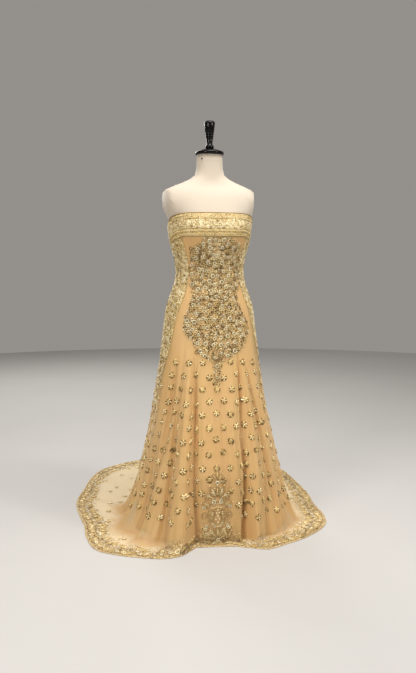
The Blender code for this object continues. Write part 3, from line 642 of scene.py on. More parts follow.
def shell_faces(rows, columns):
    """Faces of a closed wall: an outer grid, then an inner one of the same size."""
    outer = grid_faces(rows, columns)
    inner = outer[:, ::-1] + rows * columns
    corner = np.arange(rows * columns).reshape(rows, columns)
    rims = []
    for edge in (corner[0], corner[:, -1], corner[-1, ::-1], corner[::-1, 0]):
        beyond = edge + rows * columns
        rims.append(np.stack((edge[:-1], edge[1:], beyond[1:], beyond[:-1]), axis=-1))
    return np.concatenate([outer, inner] + rims)


def worked_amount(turn, level):
    """0 on plain tulle to 1 where threads and beads cover it."""
    height = np.maximum(level, 0.0)
    left, right = read(MEDALLION, height, "left", "right")
    inside = np.clip(np.minimum(turn - left, right - turn) / MEDALLION_FADE, 0.0, 1.0)
    inside *= (height > MEDALLION[-1].height) & (height < MEDALLION[0].height)
    front, back = read(SIDE_STRIP, height, "front_edge", "back_edge")
    strip = np.clip(np.minimum(np.abs(turn) - front, back - np.abs(turn)) / STRIP_FADE, 0.0, 1.0)
    strip *= height > SIDE_STRIP[-1].height
    above_hem = np.maximum(floor_run(turn) + level, 0.0)
    hem = np.clip(1.0 - above_hem / HEM_LACE, 0.0, 1.0) ** HEM_FADE
    return np.maximum.reduce([inside, strip, HEM_COVER * hem])


def trough_shade_amount(turn, level):
    """How much painted shade the cloth takes: 0 on the folds' ridges to 1 deep between them, with
    more down the front's middle.
    """
    height = np.maximum(level, 0.0)
    depth = -fold_rise(turn, height, 0.0) - crease_rise(turn, height, 0.0)
    recess_shade = RECESS_SHADE * np.exp(-((turn - RECESS_SHADE_TURN) / RECESS_SHADE_SPREAD) ** 2)
    recess_shade = recess_shade * np.clip((RECESS_SHADE_TOP - height) / CREASE_GROWTH, 0.0, 1.0)
    return np.clip(depth / DEEP_TROUGH + recess_shade, 0.0, 1.0) * (level > 0)


def grain_lines(start, end, step):
    """A panel's grain lines, evenly spaced from edge to edge."""
    return np.linspace(start, end, int(round((end - start) / step)) + 1)


def make_sheet(name, points, material, replaced):
    """An open sheet of cloth from a grid of points, in place of the frame's part, which is
    hidden.
    """
    piece = new_piece(name, points.reshape(-1, 3), grid_faces(*points.shape[:2]), material)
    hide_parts(replaced)
    return piece


def make_panels(material):
    """The outer layer: one sheet of tulle for each panel."""
    for panel in PANELS:
        grain = grain_lines(panel.start, panel.end, COLUMN_STEP)
        top = neckline_height(grain)
        rows = [top + (WAIST - top) * share for share in np.linspace(0, 1, BODICE_ROWS)]
        rows += [np.full(len(grain), WAIST * (1 - share) ** ROW_SPREAD)
                 for share in np.linspace(0, 1, SKIRT_ROWS + 1)[1:]]
        run = floor_run(seam_turns(grain, np.zeros(len(grain))))
        rows += [-run * share for share in np.linspace(0, 1, FLOOR_ROWS + 1)[1:]]
        levels = np.array(rows)
        turns = seam_turns(grain[None, :], np.maximum(levels, 0.0))
        points, normals, _ = tulle_frame(turns, levels)
        piece = make_sheet("tulle_" + panel.name, points + normals * SHEET_LIFT, material,
                           panel.name)
        outward = on_circle(turns, np.ones_like(turns), np.zeros_like(turns))
        facing = np.abs(np.sum(normals * outward, axis=-1))
        # How edge-on the cloth stands: the material makes it denser there, and darker with
        # painted shade.
        give(piece, "veil_and_shade", np.where(levels > 0, np.clip(1.0 - facing, 0.0, 1.0), FLOOR_VEIL))
        # Painted shade in the troughs and down the front's middle.
        give(piece, "trough_shade", trough_shade_amount(turns, levels))
        give(piece, "worked", worked_amount(turns, levels))
        # Where the cloth lies on the floor, the material paints it paler, as painted light.
        give(piece, "lying", np.clip(-levels / FLOOR_BEND, 0.0, 1.0))


def make_lining(material):
    """The under layer: front, and two backs."""
    for part in WRAPS:
        grain = grain_lines(part.start, part.end, LINING_STEP)
        top = neckline_height(grain) - GAP
        heights = np.array([top + (LINING_HEM - top) * share
                            for share in np.linspace(0, 1, LINING_ROWS)])
        points = lining_points(seam_turns(grain[None, :], heights), heights)
        make_sheet("satin_" + part.name, points, material, "lining_" + part.name)


def make_shell(name, turns, levels, lift, thickness, material, replaced):
    """A stiff beaded wall that lies on the outer layer."""
    points, normals, _ = tulle_frame(turns, levels)
    rim = np.ones(turns.shape)
    rim[0] = rim[-1] = rim[:, 0] = rim[:, -1] = SHELL_EDGE
    base = TULLE + (lift - TULLE) * rim[..., None]
    outer = points + normals * (base + thickness * rim[..., None])
    inner = points + normals * base
    both = np.concatenate((outer.reshape(-1, 3), inner.reshape(-1, 3)))
    piece = new_piece(name, both, shell_faces(*turns.shape), material)
    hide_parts(replaced)


def make_band(material):
    """The deep beaded band along the neckline."""
    for part in WRAPS:
        grain = grain_lines(part.start, part.end, COLUMN_STEP)
        top = neckline_height(grain)
        levels = np.array([top - BAND_DEPTH * share for share in np.linspace(0, 1, BAND_ROWS)])
        turns = seam_turns(grain[None, :], levels)
        make_shell("beaded_band_" + part.name, turns, levels, TULLE + GAP, BAND, material,
                   "band_" + part.name)


def strip_top(turn):
    """Where the strips begin, just under the band."""
    return neckline_height(turn) - BAND_DEPTH - STRIP_UNDER_BAND


def make_side_shells(material):
    """The dense beaded strips over the side seams, as far down as they are walls."""
    for name, side in SIDES:
        share = np.linspace(0, 1, STRIP_COLUMNS)[None, ::side]
        first = SIDE_STRIP[0]
        top = strip_top(first.front_edge + (first.back_edge - first.front_edge) * share)
        levels = top + (STRIP_SHELL_HEM - top) * np.linspace(0, 1, STRIP_ROWS)[:, None]
        front, back = read(SIDE_STRIP, levels, "front_edge", "back_edge")
        turns = side * (front + (back - front) * share)
        make_shell("beaded_side_" + name, turns, levels, TULLE + STRIP_CLEARANCE, LACE,
                   material, "side_lace_" + name)


# ---- shapes that are sewn on -----------------------------------------------------------
Shape = namedtuple("Shape", "points faces tints")
SEED_SIDES = 6
SEED_OVAL = 0.96
BUGLE_SIDES = 4
PEARL_SUNK = 0.8        # share of a pearl's height at which its middle lies
THREAD_SIDES = 3
THREAD_SUNK = 0.7
THREAD_FLATNESS = 0.8
THREAD_TAPER = 0.35
THREAD_RAISED = 0.6


def deselect():
    """Leaves edit mode with nothing selected, as each new primitive needs."""
    if bpy.context.object and bpy.context.object.mode != "OBJECT":
        bpy.ops.object.mode_set(mode="OBJECT")
    bpy.ops.object.select_all(action="DESELECT")


def shape_of(tint):
    """Takes the active object as a shape of triangles with one tint, and removes it."""
    piece = bpy.context.object
    if piece.mode != "OBJECT":
        bpy.ops.object.mode_set(mode="OBJECT")
    mesh = piece.data
    mesh.transform(piece.matrix_world)
    mesh.calc_loop_triangles()
    points = np.array([vertex.co[:] for vertex in mesh.vertices])
    faces = np.array([triangle.vertices[:] for triangle in mesh.loop_triangles])
    bpy.data.objects.remove(piece)
    return Shape(points, faces, np.full(len(points), tint))


def placed(shape, place=(0, 0, 0), spin=0.0, size=(1, 1, 1), tint=None):
    """A copy of a shape, sized, spun about its own Z, then put at a place."""
    angle = math.radians(spin)
    turn = np.array(((math.cos(angle), -math.sin(angle), 0),
                     (math.sin(angle), math.cos(angle), 0), (0, 0, 1)))
    points = (shape.points * np.array(size)) @ turn.T + np.array(place)
    tints = shape.tints if tint is None else np.full(len(points), tint)
    return Shape(points, shape.faces, tints)


def joined(shapes):
    """One shape from several."""
    shift = np.cumsum([0] + [len(shape.points) for shape in shapes[:-1]])
    return Shape(np.concatenate([shape.points for shape in shapes]),
                 np.concatenate([shape.faces + s for shape, s in zip(shapes, shift)]),
                 np.concatenate([shape.tints for shape in shapes]))


def pressed(scale, middle, tint=GOLD):
    """The new primitive as a shape, scaled about its middle."""
    bpy.ops.object.mode_set(mode="EDIT")
    bpy.ops.mesh.select_all(action="SELECT")
    bpy.ops.transform.resize(value=scale, center_override=middle)
    return shape_of(tint)


def pearl_shape(radius, flatness):
    """A round bead, flattened a little where it is sewn down."""
    deselect()
    middle = (0, 0, radius * flatness * PEARL_SUNK)
    bpy.ops.mesh.primitive_ico_sphere_add(subdivisions=1, radius=radius, location=middle)
    return pressed((1, 1, flatness), middle, CREAM)


def seed_shape(radius, tall):
    """A seed bead with few faces, widest near the cloth; smooth shading rounds it."""
    deselect()
    bpy.ops.mesh.primitive_cone_add(vertices=SEED_SIDES, radius1=radius, radius2=0, depth=tall,
                                    location=(0, 0, tall / 2))
    return pressed((1, SEED_OVAL, 1), (0, 0, 0))


def bugle_shape(radius, length):
    """A cut tube of glass, with its ends drawn in, lying along X."""
    deselect()
    bpy.ops.mesh.primitive_cylinder_add(vertices=BUGLE_SIDES, radius=radius, depth=length * 0.8,
                                        location=(0, 0, radius), rotation=(0, math.pi / 2, 0))
    bpy.ops.object.mode_set(mode="EDIT")
    bpy.ops.mesh.select_mode(type="FACE")
    for side in (-1, 1):
        bpy.ops.mesh.select_all(action="DESELECT")
        bpy.ops.object.mode_set(mode="OBJECT")
        for face in bpy.context.object.data.polygons:
            face.select = face.normal.z * side > 0.9
        bpy.ops.object.mode_set(mode="EDIT")
        bpy.ops.mesh.extrude_region_move(
            TRANSFORM_OT_translate={"value": (side * length * 0.1, 0, 0)})
        bpy.ops.transform.resize(value=(1, 0.5, 0.5),
                                 center_override=(side * length * 0.5, 0, radius))
    return shape_of(GOLD)


def round_shape(radius, thickness, segments, tint):
    """A round of couched thread, flattened where it is sewn down."""
    deselect()
    middle = (0, 0, thickness * THREAD_SUNK)
    bpy.ops.mesh.primitive_torus_add(major_radius=radius, minor_radius=thickness,
                                     major_segments=segments, minor_segments=THREAD_SIDES,
                                     location=middle)
    return pressed((1, 1, THREAD_FLATNESS), middle, tint)


def facing_out(shape):
    """The same shape, with its faces' order reversed where they point inwards."""
    a, b, c = (shape.points[shape.faces[:, k]] for k in range(3))
    volume = np.sum(np.cross(a, b) * c)
    return shape if volume > 0 else Shape(shape.points, shape.faces[:, ::-1], shape.tints)


def thread_shape(path, radius, tint):
    """A couched thread along a path on the cloth, thinner at its ends."""
    path = np.array(path, float)
    ahead = np.gradient(path, axis=0)
    ahead /= np.linalg.norm(ahead, axis=1, keepdims=True)
    beside = np.stack((-ahead[:, 1], ahead[:, 0], np.zeros(len(path))), axis=1)
    taper = np.ones(len(path))
    taper[0] = taper[-1] = THREAD_TAPER
    angle = np.arange(THREAD_SIDES) * 2 * math.pi / THREAD_SIDES + math.pi / 2
    sideways = np.cos(angle)[None, :, None] * taper[:, None, None]
    upwards = np.sin(angle)[None, :, None] * taper[:, None, None] + THREAD_RAISED
    points = path[:, None] + (beside[:, None] * sideways
                              + np.array((0, 0, 1.0)) * upwards) * radius
    faces = []
    for ring in range(len(path) - 1):
        for side in range(THREAD_SIDES):
            a = ring * THREAD_SIDES + side
            b = ring * THREAD_SIDES + (side + 1) % THREAD_SIDES
            faces += [(a, b, b + THREAD_SIDES), (a, b + THREAD_SIDES, a + THREAD_SIDES)]
    last = (len(path) - 1) * THREAD_SIDES
    for side in range(1, THREAD_SIDES - 1):
        faces += [(0, side + 1, side), (last, last + side, last + side + 1)]
    tints = np.full(len(path) * THREAD_SIDES, tint)
    return facing_out(Shape(points.reshape(-1, 3), np.array(faces), tints))


def around(shape, count, reach, start=0.0, size=(1, 1, 1), tints=(GOLD,)):
    """Copies of a shape in a circle, each pointing away from the middle."""
    copies = []
    for number in range(count):
        turn = start + number * 360.0 / count
        place = (reach * math.cos(math.radians(turn)), reach * math.sin(math.radians(turn)), 0)
        copies.append(placed(shape, place, turn, size, tints[number % len(tints)]))
    return copies


def rosette_shape(seed):
    """A cream round with a dark outline, a dark ground and beads inside and out."""
    return joined(
        [round_shape(0.0066, 0.0014, 10, CREAM), round_shape(0.0089, 0.0008, 10, BRONZE * 0.4),
         placed(seed, size=(3.1, 3.1, 0.4), tint=DARK)]
        + around(seed, 5, 0.0040, 0, (0.9, 0.9, 0.9), (GOLD, PALE))
        + around(seed, 9, 0.0110, 15, (1.0, 1.0, 0.9), (GOLD, BRONZE, PALE))
        + [placed(seed, size=(1.4, 1.4, 1.6), tint=CREAM)])


def ring_shape(seed):
    """A smaller round with a bead in the middle of its dark ground."""
    return joined(
        [round_shape(0.0052, 0.0015, 10, CREAM), round_shape(0.0072, 0.0007, 9, BRONZE * 0.4),
         placed(seed, size=(2.5, 2.5, 0.4), tint=DARK),
         placed(seed, size=(1.3, 1.3, 1.5), tint=PALE)])


def loop_shape(seed):
    """The smallest round, over a dark dot."""
    return joined([round_shape(0.0040, 0.0011, 8, PALE),
                   placed(seed, size=(1.8, 1.8, 0.4), tint=DARK)])


def sprig_shape(shadow_disc, seed):
    """A small flower of five petals over a disc of painted shadow."""
    return joined(
        [shadow_disc]
        + around(seed, 5, 0.0064, 18, (2.4, 1.9, 1.0), (PALE, GOLD, PALE, PALE, CREAM))
        + around(seed, 5, 0.0090, 54, (1.1, 1.1, 0.9), (DARK, BRONZE))
        + [placed(seed, size=(1.6, 1.6, 1.3), tint=CREAM)])


def round_sprig_shape(shadow_disc, seed):
    """A small flower with a round of thread and six petals, over a disc of painted shadow."""
    return joined(
        [shadow_disc, round_shape(0.0044, 0.0012, 7, PALE)]
        + around(seed, 6, 0.0086, 10, (1.8, 1.6, 1.0), (GOLD, PALE, BRONZE))
        + [placed(seed, size=(1.5, 1.5, 1.2), tint=PALE)])


def leaf_shape(bugle):
    """A leaf of bugle beads, set in pairs along a dark rib."""
    veins = []
    for step in range(3):
        along = 0.0030 + step * 0.0052
        reach = 0.0030 * math.sin(math.pi * (step + 0.9) / 3.8) + 0.0006
        for side in (-1, 1):
            veins.append(placed(bugle, (along, side * reach, 0), side * 38,
                                (0.55 + reach * 130, 0.9, 0.9), PALE if step % 2 else GOLD))
    rib = [(x, 0.0, 0.0) for x in np.linspace(-0.002, 0.0195, 4)]
    return joined(veins + [thread_shape(rib, 0.0008, BRONZE * 0.6)])


def drawn_leaf_shape(seed):
    """A leaf drawn with two bowed threads and a pale rib, and a bead at its tip."""
    share = np.linspace(0, 1, 9)
    bow = 0.0050 * np.sin(math.pi * share) ** 0.8
    outlines = [thread_shape(np.stack((0.022 * share, side * bow, 0 * share), axis=1), 0.0012,
                             BRONZE * 1.25) for side in (-1, 1)]
    rib = np.stack((0.002 + 0.016 * share, 0 * share, 0 * share), axis=1)[::2]
    return joined(outlines + [thread_shape(rib, 0.0009, PALE),
                              placed(seed, (0.0225, 0, 0), tint=PALE)])


def scroll_shape(seed):
    """A thread that curls in on itself, with a cream bead at its end."""
    share = np.linspace(0, 1, 15)
    curl = 0.0105 * (1 - share * 0.78)
    angle = share * math.radians(430)
    path = np.stack((curl * np.cos(angle) - 0.0105, curl * np.sin(angle), 0 * share), axis=1)
    return joined([thread_shape(path, 0.0012, BRONZE * 1.2),
                   placed(seed, tuple(path[-1]), tint=CREAM)])


def scallop_shape(seed):
    """A small arch of thread that hangs, with a bead in it and one below."""
    arch = np.linspace(0, math.pi, 6)
    path = np.stack((0.0058 * np.cos(arch), -0.0050 * np.sin(arch), 0 * arch), axis=1)
    return joined([thread_shape(path, 0.0011, PALE),
                   placed(seed, (0, -0.0018, 0), tint=GOLD),
                   placed(seed, (0, -0.0076, 0), size=(0.8, 0.8, 0.8), tint=CREAM)])


def make_shapes():
    """Every shape, once."""
    seed = seed_shape(0.0016, 0.0026)
    bugle = bugle_shape(0.00085, 0.0052)
    # Painted shadow: a flat dark-gold disc under each sprig's petals.
    shadow_disc = placed(seed, (0, 0, 0.0002), size=(6.9, 6.9, 0.35), tint=BRONZE * 1.5)
    scroll = scroll_shape(seed)
    return {
        "seed": seed,
        "pearl": pearl_shape(0.0021, 0.9),
        "bugle": bugle,
        "loop": loop_shape(seed),
        "rosette": rosette_shape(seed),
        "ring": ring_shape(seed),
        "sprig": sprig_shape(shadow_disc, seed),
        "round_sprig": round_sprig_shape(shadow_disc, seed),
        "leaf": leaf_shape(bugle),
        "drawn_leaf": drawn_leaf_shape(seed),
        "scroll": scroll,
        "counter_scroll": Shape(scroll.points * (1, -1, 1), scroll.faces[:, ::-1], scroll.tints),
        "scallop": scallop_shape(seed),
    }


Sewn = namedtuple("Sewn", "shape turn level spin size tint")
WIDE_SHAPE = 0.010      # a shape that reaches further than this bends over the folds
LEAST_DEGREE = 0.0012   # metres: no degree round the gown is taken as less


def sew(name, stitches, shapes, material, lift):
    """Copies of the shapes, bent onto the outer layer, as one piece."""
    points, faces, tints = [], [], []
    total = 0
    for kind in sorted({stitch.shape for stitch in stitches}):
        rows = [stitch for stitch in stitches if stitch.shape == kind]
        shape = shapes[kind]
        turn, level, spin, size, tint = (
            np.array([getattr(row, key) for row in rows], float)[:, None]
            for key in ("turn", "level", "spin", "size", "tint"))
        angle = np.radians(spin)
        x = (shape.points[:, 0] * np.cos(angle) - shape.points[:, 1] * np.sin(angle)) * size
        y = (shape.points[:, 0] * np.sin(angle) + shape.points[:, 1] * np.cos(angle)) * size
        z = shape.points[:, 2] * size + lift
        _, normal, stretch = tulle_frame(turn[:, 0], level[:, 0])
        stretch = np.maximum(stretch, LEAST_DEGREE)[:, None]
        if np.abs(shape.points[:, :2]).max() > WIDE_SHAPE:
            base, normal, _ = tulle_frame(turn + x / stretch, level + y)
        else:
            base = tulle_points(turn + x / stretch, level + y)
            normal = normal[:, None]
        bent = base + normal * z[..., None]
        points.append(bent.reshape(-1, 3))
        shift = total + np.arange(len(rows))[:, None, None] * len(shape.points)
        faces.append((shape.faces[None] + shift).reshape(-1, 3))
        tints.append((np.clip(shape.tints[None] + tint, 0.0, 1.0)).ravel())
        total += bent.shape[0] * bent.shape[1]
    piece = new_piece(name, np.concatenate(points), np.concatenate(faces), material)
    give(piece, "tint", np.concatenate(tints))


# ---- where the shapes go ---------------------------------------------------------------
def in_medallion(turn, level, margin=0.0):
    """True inside the medallion, at least a margin in degrees from its edge."""
    if not MEDALLION[-1].height < level < MEDALLION[0].height:
        return False
    left, right = read(MEDALLION, level, "left", "right")
    return left + margin <= turn <= right - margin


def distance_to(anchors, turn, level):
    """Metres along the cloth from a place to the nearest of the anchors."""
    return min(math.hypot((turn - other[0]) * BODICE_DEGREE, level - other[1])
               for other in anchors)


ROSETTE_TRIES = 1500
ROSETTE_TURNS = (-55, 0)    # rosettes are thrown between these
ROSETTE_HEIGHTS = (0.70, 1.178)
ROSETTE_MARGIN = 3.5        # degrees from the medallion's edge
ROSETTE_SPACING = 0.030     # metres between the places that rosettes are thrown to
ROSETTE_LEAST = 0.024       # and between any two that are sewn
ROSETTE_CLEARANCE = 0.0105  # the small beads stay this far from a rosette's middle
PAIR_MARGIN = 3.0           # the same, once a pair has been jogged
TAIL_ROSETTES = ((0.679, 1.0), (0.636, 0.8))    # height and size, down the medallion's tail
TAIL_LEAVES = (-40, -90, -140)                  # directions below each of them
FAN_PLACE = (-2.0, 0.722)   # turn and height of a fan of leaves at the medallion's foot
FAN_LEAVES = (200, 226, 250, 270, 290, 314, 340)
SCROLL_ROWS = (0.735, 1.165, 0.036)     # lowest, highest and step of the rows of scrolls
SCROLL_STEP = 11.0                      # degrees
FILL_ROWS = (0.612, 1.186, 0.0078)      # the same for the small beads between
FILL_STEP = 3.4
FILL_MISSED = 0.06                      # share of them that is left out


def rosette_places(rng):
    """Places on the medallion's left half, thrown at random and kept apart."""
    kept = [FAR_AWAY]
    for _ in range(ROSETTE_TRIES):
        place = (rng.uniform(*ROSETTE_TURNS), rng.uniform(*ROSETTE_HEIGHTS))
        if in_medallion(*place, ROSETTE_MARGIN) and distance_to(kept, *place) > ROSETTE_SPACING:
            kept.append(place)
    return kept[1:]


def medallion_stitches(rng):
    """Rosettes thrown over the medallion in rough pairs, with loops and seeds between."""
    stitches = []
    anchors = [FAR_AWAY]
    for turn, level in rosette_places(rng):
        for side in (1, -1):
            middle = centre_turn(level)
            place = middle + side * (turn - middle) + rng.normal(0, 0.8)
            high = level + rng.normal(0, 0.0020)
            if (not in_medallion(place, high, PAIR_MARGIN)
                    or distance_to(anchors, place, high) < ROSETTE_LEAST):
                continue
            anchors.append((place, high))
            kind = "rosette" if rng.random() < 0.5 else "ring"
            stitches.append(Sewn(kind, place, high, rng.uniform(0, 360), rng.uniform(0.85, 1.12),
                                 rng.uniform(-0.10, 0.10)))
    for level, size in TAIL_ROSETTES:
        turn = centre_turn(level)
        stitches.append(Sewn("rosette", turn, level, 10, size, -0.15))
        stitches += [Sewn("drawn_leaf", turn, level - 0.008 * size, spin, 0.75 * size, -0.1)
                     for spin in TAIL_LEAVES]
        anchors.append((turn, level))
    stitches += [Sewn("drawn_leaf", *FAN_PLACE, spin, 1.25, -0.1) for spin in FAN_LEAVES]
    for level in np.arange(*SCROLL_ROWS):
        for turn in np.arange(smooth(MEDALLION, "left", level) + 5, -2, SCROLL_STEP):
            spin = rng.uniform(0, 360)
            for side in (1, -1):
                stitches.append(Sewn("scroll", side * turn + rng.normal(0, 1.0),
                                     level + rng.normal(0, 0.004), side * spin,
                                     rng.uniform(0.85, 1.15), -0.35))
    for number, row in enumerate(np.arange(*FILL_ROWS)):
        left, right = read(MEDALLION, row, "left", "right")
        for turn in np.arange(left + FILL_STEP / 2 * (number % 2), right, FILL_STEP):
            place = turn + rng.normal(0, 0.5)
            high = row + rng.normal(0, 0.0012)
            if (distance_to(anchors, place, high) < ROSETTE_CLEARANCE
                    or rng.random() < FILL_MISSED):
                continue
            kind = rng.choice(("loop", "seed", "bugle", "pearl"), p=(0.50, 0.22, 0.20, 0.08))
            tint = rng.choice((-0.5, -0.3, -0.1, 0.2), p=(0.20, 0.28, 0.28, 0.24))
            stitches.append(Sewn(kind, place, high, rng.uniform(0, 360), rng.uniform(0.85, 1.2),
                                 tint))
            stitches.append(Sewn("seed", place + 1.5, high + 0.0035, 0, rng.uniform(0.7, 1.1),
                                 rng.choice((-0.5, -0.2, 0.5), p=(0.38, 0.32, 0.30))))
    return stitches


# The band's rows: steps round it in degrees, and depths below the neckline
BAND_SEED_STEP = 1.45
BAND_SEED_DEPTHS = (0.0045, 0.0095, 0.0145, 0.0185)
BAND_MOTIF_STEP = 7.1
BAND_MOTIF_DEPTH = 0.0405
BAND_FILL_STEP = 1.9
BAND_FILL_DEPTHS = (0.0250, 0.0580, 0.0046)     # first, last and step
BAND_BUGLE_DEPTH = 0.0660
BAND_SCALLOP_STEP = 3.0
BAND_SCALLOP_DEPTH = 0.0775
BAND_EDGE_DEPTH = 0.0855


def band_stitches(rng):
    """Rows of beads between the band's cords, all round."""
    stitches = []
    for turn in np.arange(-ZIP_PLACKET, ZIP_PLACKET, BAND_SEED_STEP):
        top = neckline_height(turn)
        for depth in BAND_SEED_DEPTHS:
            stitches.append(Sewn("seed", turn + rng.normal(0, 0.25), top - depth,
                                 0, rng.uniform(0.9, 1.25),
                                 rng.choice((-0.35, 0.15, 0.35, 0.6), p=(0.15, 0.25, 0.3, 0.3))))
    for number, turn in enumerate(np.arange(-ZIP_MOTIFS, ZIP_MOTIFS, BAND_MOTIF_STEP)):
        middle = neckline_height(turn) - BAND_MOTIF_DEPTH
        if number % 3 == 0:
            stitches.append(Sewn("rosette", turn, middle, rng.uniform(0, 360), 0.92, -0.12))
        elif number % 3 == 1:
            stitches += [Sewn("drawn_leaf", turn, middle, spin, 0.62, 0.05)
                         for spin in (25, 155, 205, 335)]
            stitches.append(Sewn("loop", turn, middle, 0, 1.3, 0.15))
        else:
            stitches += [Sewn("scroll", turn, middle, spin, 0.72, 0.1) for spin in (20, 200)]
    for turn in np.arange(-ZIP_PLACKET, ZIP_PLACKET, BAND_FILL_STEP):
        top = neckline_height(turn)
        for depth in np.arange(*BAND_FILL_DEPTHS):
            stitches.append(Sewn(rng.choice(("seed", "loop"), p=(0.8, 0.2)),
                                 turn + rng.normal(0, 0.4), top - depth + rng.normal(0, 0.0006),
                                 0, rng.uniform(0.8, 1.1),
                                 rng.choice((-0.4, 0.1, 0.35, 0.6), p=(0.18, 0.2, 0.32, 0.30))))
        stitches.append(Sewn("bugle", turn, top - BAND_BUGLE_DEPTH,
                             62 if turn % 4 < 2 else 118, 1.1, 0.25))
    for turn in np.arange(-178.5, 179, BAND_SCALLOP_STEP):
        top = neckline_height(turn)
        stitches.append(Sewn("scallop", turn, top - BAND_SCALLOP_DEPTH, 0, 0.66,
                             rng.uniform(-0.3, 0.0)))
        stitches.append(Sewn("seed", turn + BAND_SCALLOP_STEP / 2, top - BAND_EDGE_DEPTH, 0,
                             1.1, 0.3))
    return stitches


# The strips' rows: highest, lowest and step, and the places across them as shares
STRIP_ROSETTE_ROWS = (1.145, 0.60, -0.042)
STRIP_TWOS = (0.22, 0.72)
STRIP_THREES = (0.10, 0.46, 0.85)
STRIP_FILL_ROWS = (1.185, SIDE_STRIP[-1].height, -0.0054)
STRIP_FILL_STEP = 2.1   # degrees
STRIP_MARGIN = 0.4      # degrees from a strip's edge to its outermost beads
STRIP_EDGE = 1.6        # degrees: only seed beads are sewn this near its edge
STRIP_CLEAR = 0.0095    # the beads stay this far from the middle of a strip's rosette


def side_stitches(rng, side):
    """Dense beads in slanting rows over the side seam, thinning out below the hip."""
    stitches = []
    rosettes = [FAR_AWAY]
    for number, level in enumerate(np.arange(*STRIP_ROSETTE_ROWS)):
        front, back = read(SIDE_STRIP, level, "front_edge", "back_edge")
        for share in (STRIP_TWOS if number % 2 else STRIP_THREES):
            turn = side * (front + (back - front) * share)
            rosettes.append((turn, level))
            stitches.append(Sewn("rosette" if share > 0.2 else "ring", turn, level,
                                 rng.uniform(0, 360), 0.74, -0.25))
    for number, level in enumerate(np.arange(*STRIP_FILL_ROWS)):
        front, back = read(SIDE_STRIP, level, "front_edge", "back_edge")
        front += STRIP_MARGIN
        back -= STRIP_MARGIN
        for turn in np.arange(front, back, STRIP_FILL_STEP):
            if level > strip_top(turn) - 0.002:
                continue
            place = side * (turn + rng.normal(0, 0.4) + (number % 2) * 1.0)
            high = level + rng.normal(0, 0.0010)
            if distance_to(rosettes, place, high) < STRIP_CLEAR:
                continue
            edge = min(turn - front, back - turn) < STRIP_EDGE
            kind = "seed" if edge else rng.choice(("seed", "bugle", "loop"), p=(0.5, 0.3, 0.2))
            tint = rng.choice((-0.45, -0.1, 0.25, 0.55), p=(0.22, 0.22, 0.28, 0.28))
            stitches.append(Sewn(kind, place, high, side * (50 + rng.normal(0, 20)),
                                 rng.uniform(0.9, 1.25), tint))
    return stitches


def turns_along(level, spacing, offset):
    """Turns that lie at even steps along the cloth, both ways from the centre line."""
    turns = np.arange(-180, 180.01, 0.5)
    points = tulle_points(turns, np.full_like(turns, level))
    arc = np.concatenate(([0], np.cumsum(np.linalg.norm(np.diff(points, axis=0), axis=1))))
    middle = np.interp(centre_turn(level), turns, arc)
    count = int(arc[-1] / spacing) + 1
    steps = middle + (np.arange(-count, count + 1) + offset) * spacing
    steps = steps[(steps > arc[0]) & (steps < arc[-1])]
    return np.interp(steps, arc, turns)


def in_strip(turn, level, margin):
    """True on a side strip, or within a margin in degrees of one."""
    front, back = read(SIDE_STRIP, level, "front_edge", "back_edge")
    return level >= SIDE_STRIP[-1].height and front - margin < abs(turn) < back + margin


SPRIG_SPACING = 0.058   # along a row
SPRIG_ROWS = (0.690, 0.090, -0.049)     # highest, lowest and step
SPRIG_MARGIN = 0.012    # sprigs keep this far from the medallion and the front ornament
SPRIG_TURN_MARGIN = 3   # and this many degrees from a side strip
TRAIN_SPRIG_TURNS = (-176, 178, 9.0)
TRAIN_SPRIG_START = 0.05                # metres out along the floor
TRAIN_SPRIG_STEP = 0.095


def sprig_stitches(rng):
    """Small sprigs in half-drop rows over the skirt and the train."""
    stitches = []
    for row, level in enumerate(np.arange(*SPRIG_ROWS)):
        for turn in turns_along(level, SPRIG_SPACING, 0.5 * (row % 2)):
            high = level + rng.normal(0, 0.004)
            if (in_medallion(turn, high + SPRIG_MARGIN)
                    or in_strip(turn, high, SPRIG_TURN_MARGIN)
                    or in_ornament(turn, high, SPRIG_MARGIN)):
                continue
            kind = "sprig" if rng.random() < 0.55 else "round_sprig"
            stitches.append(Sewn(kind, turn + rng.normal(0, 0.5), high, rng.uniform(0, 360),
                                 rng.uniform(1.14, 1.32), rng.normal(-0.07, 0.05)))
    for turn in np.arange(*TRAIN_SPRIG_TURNS):
        last = floor_run(turn) - HEM_LACE * 0.9
        for out in np.arange(TRAIN_SPRIG_START, last, TRAIN_SPRIG_STEP):
            stitches.append(Sewn("sprig", turn + rng.normal(0, 1.5), -out + rng.normal(0, 0.01),
                                 rng.uniform(0, 360), rng.uniform(0.85, 1.05), 0.05))
    return stitches


ORNAMENT_TOP = 0.292
ORNAMENT_HALF_WIDTH = 0.074
ORNAMENT_TAPER = 1.9    # how soon the ornament reaches its width on the way down
ORNAMENT_TRIES = 90     # small beads thrown over it
GARLAND_SEEDS = 9       # seeds in each half of the row across it
HEM_DEGREE = 0.0058     # metres along the front of the hem for each degree

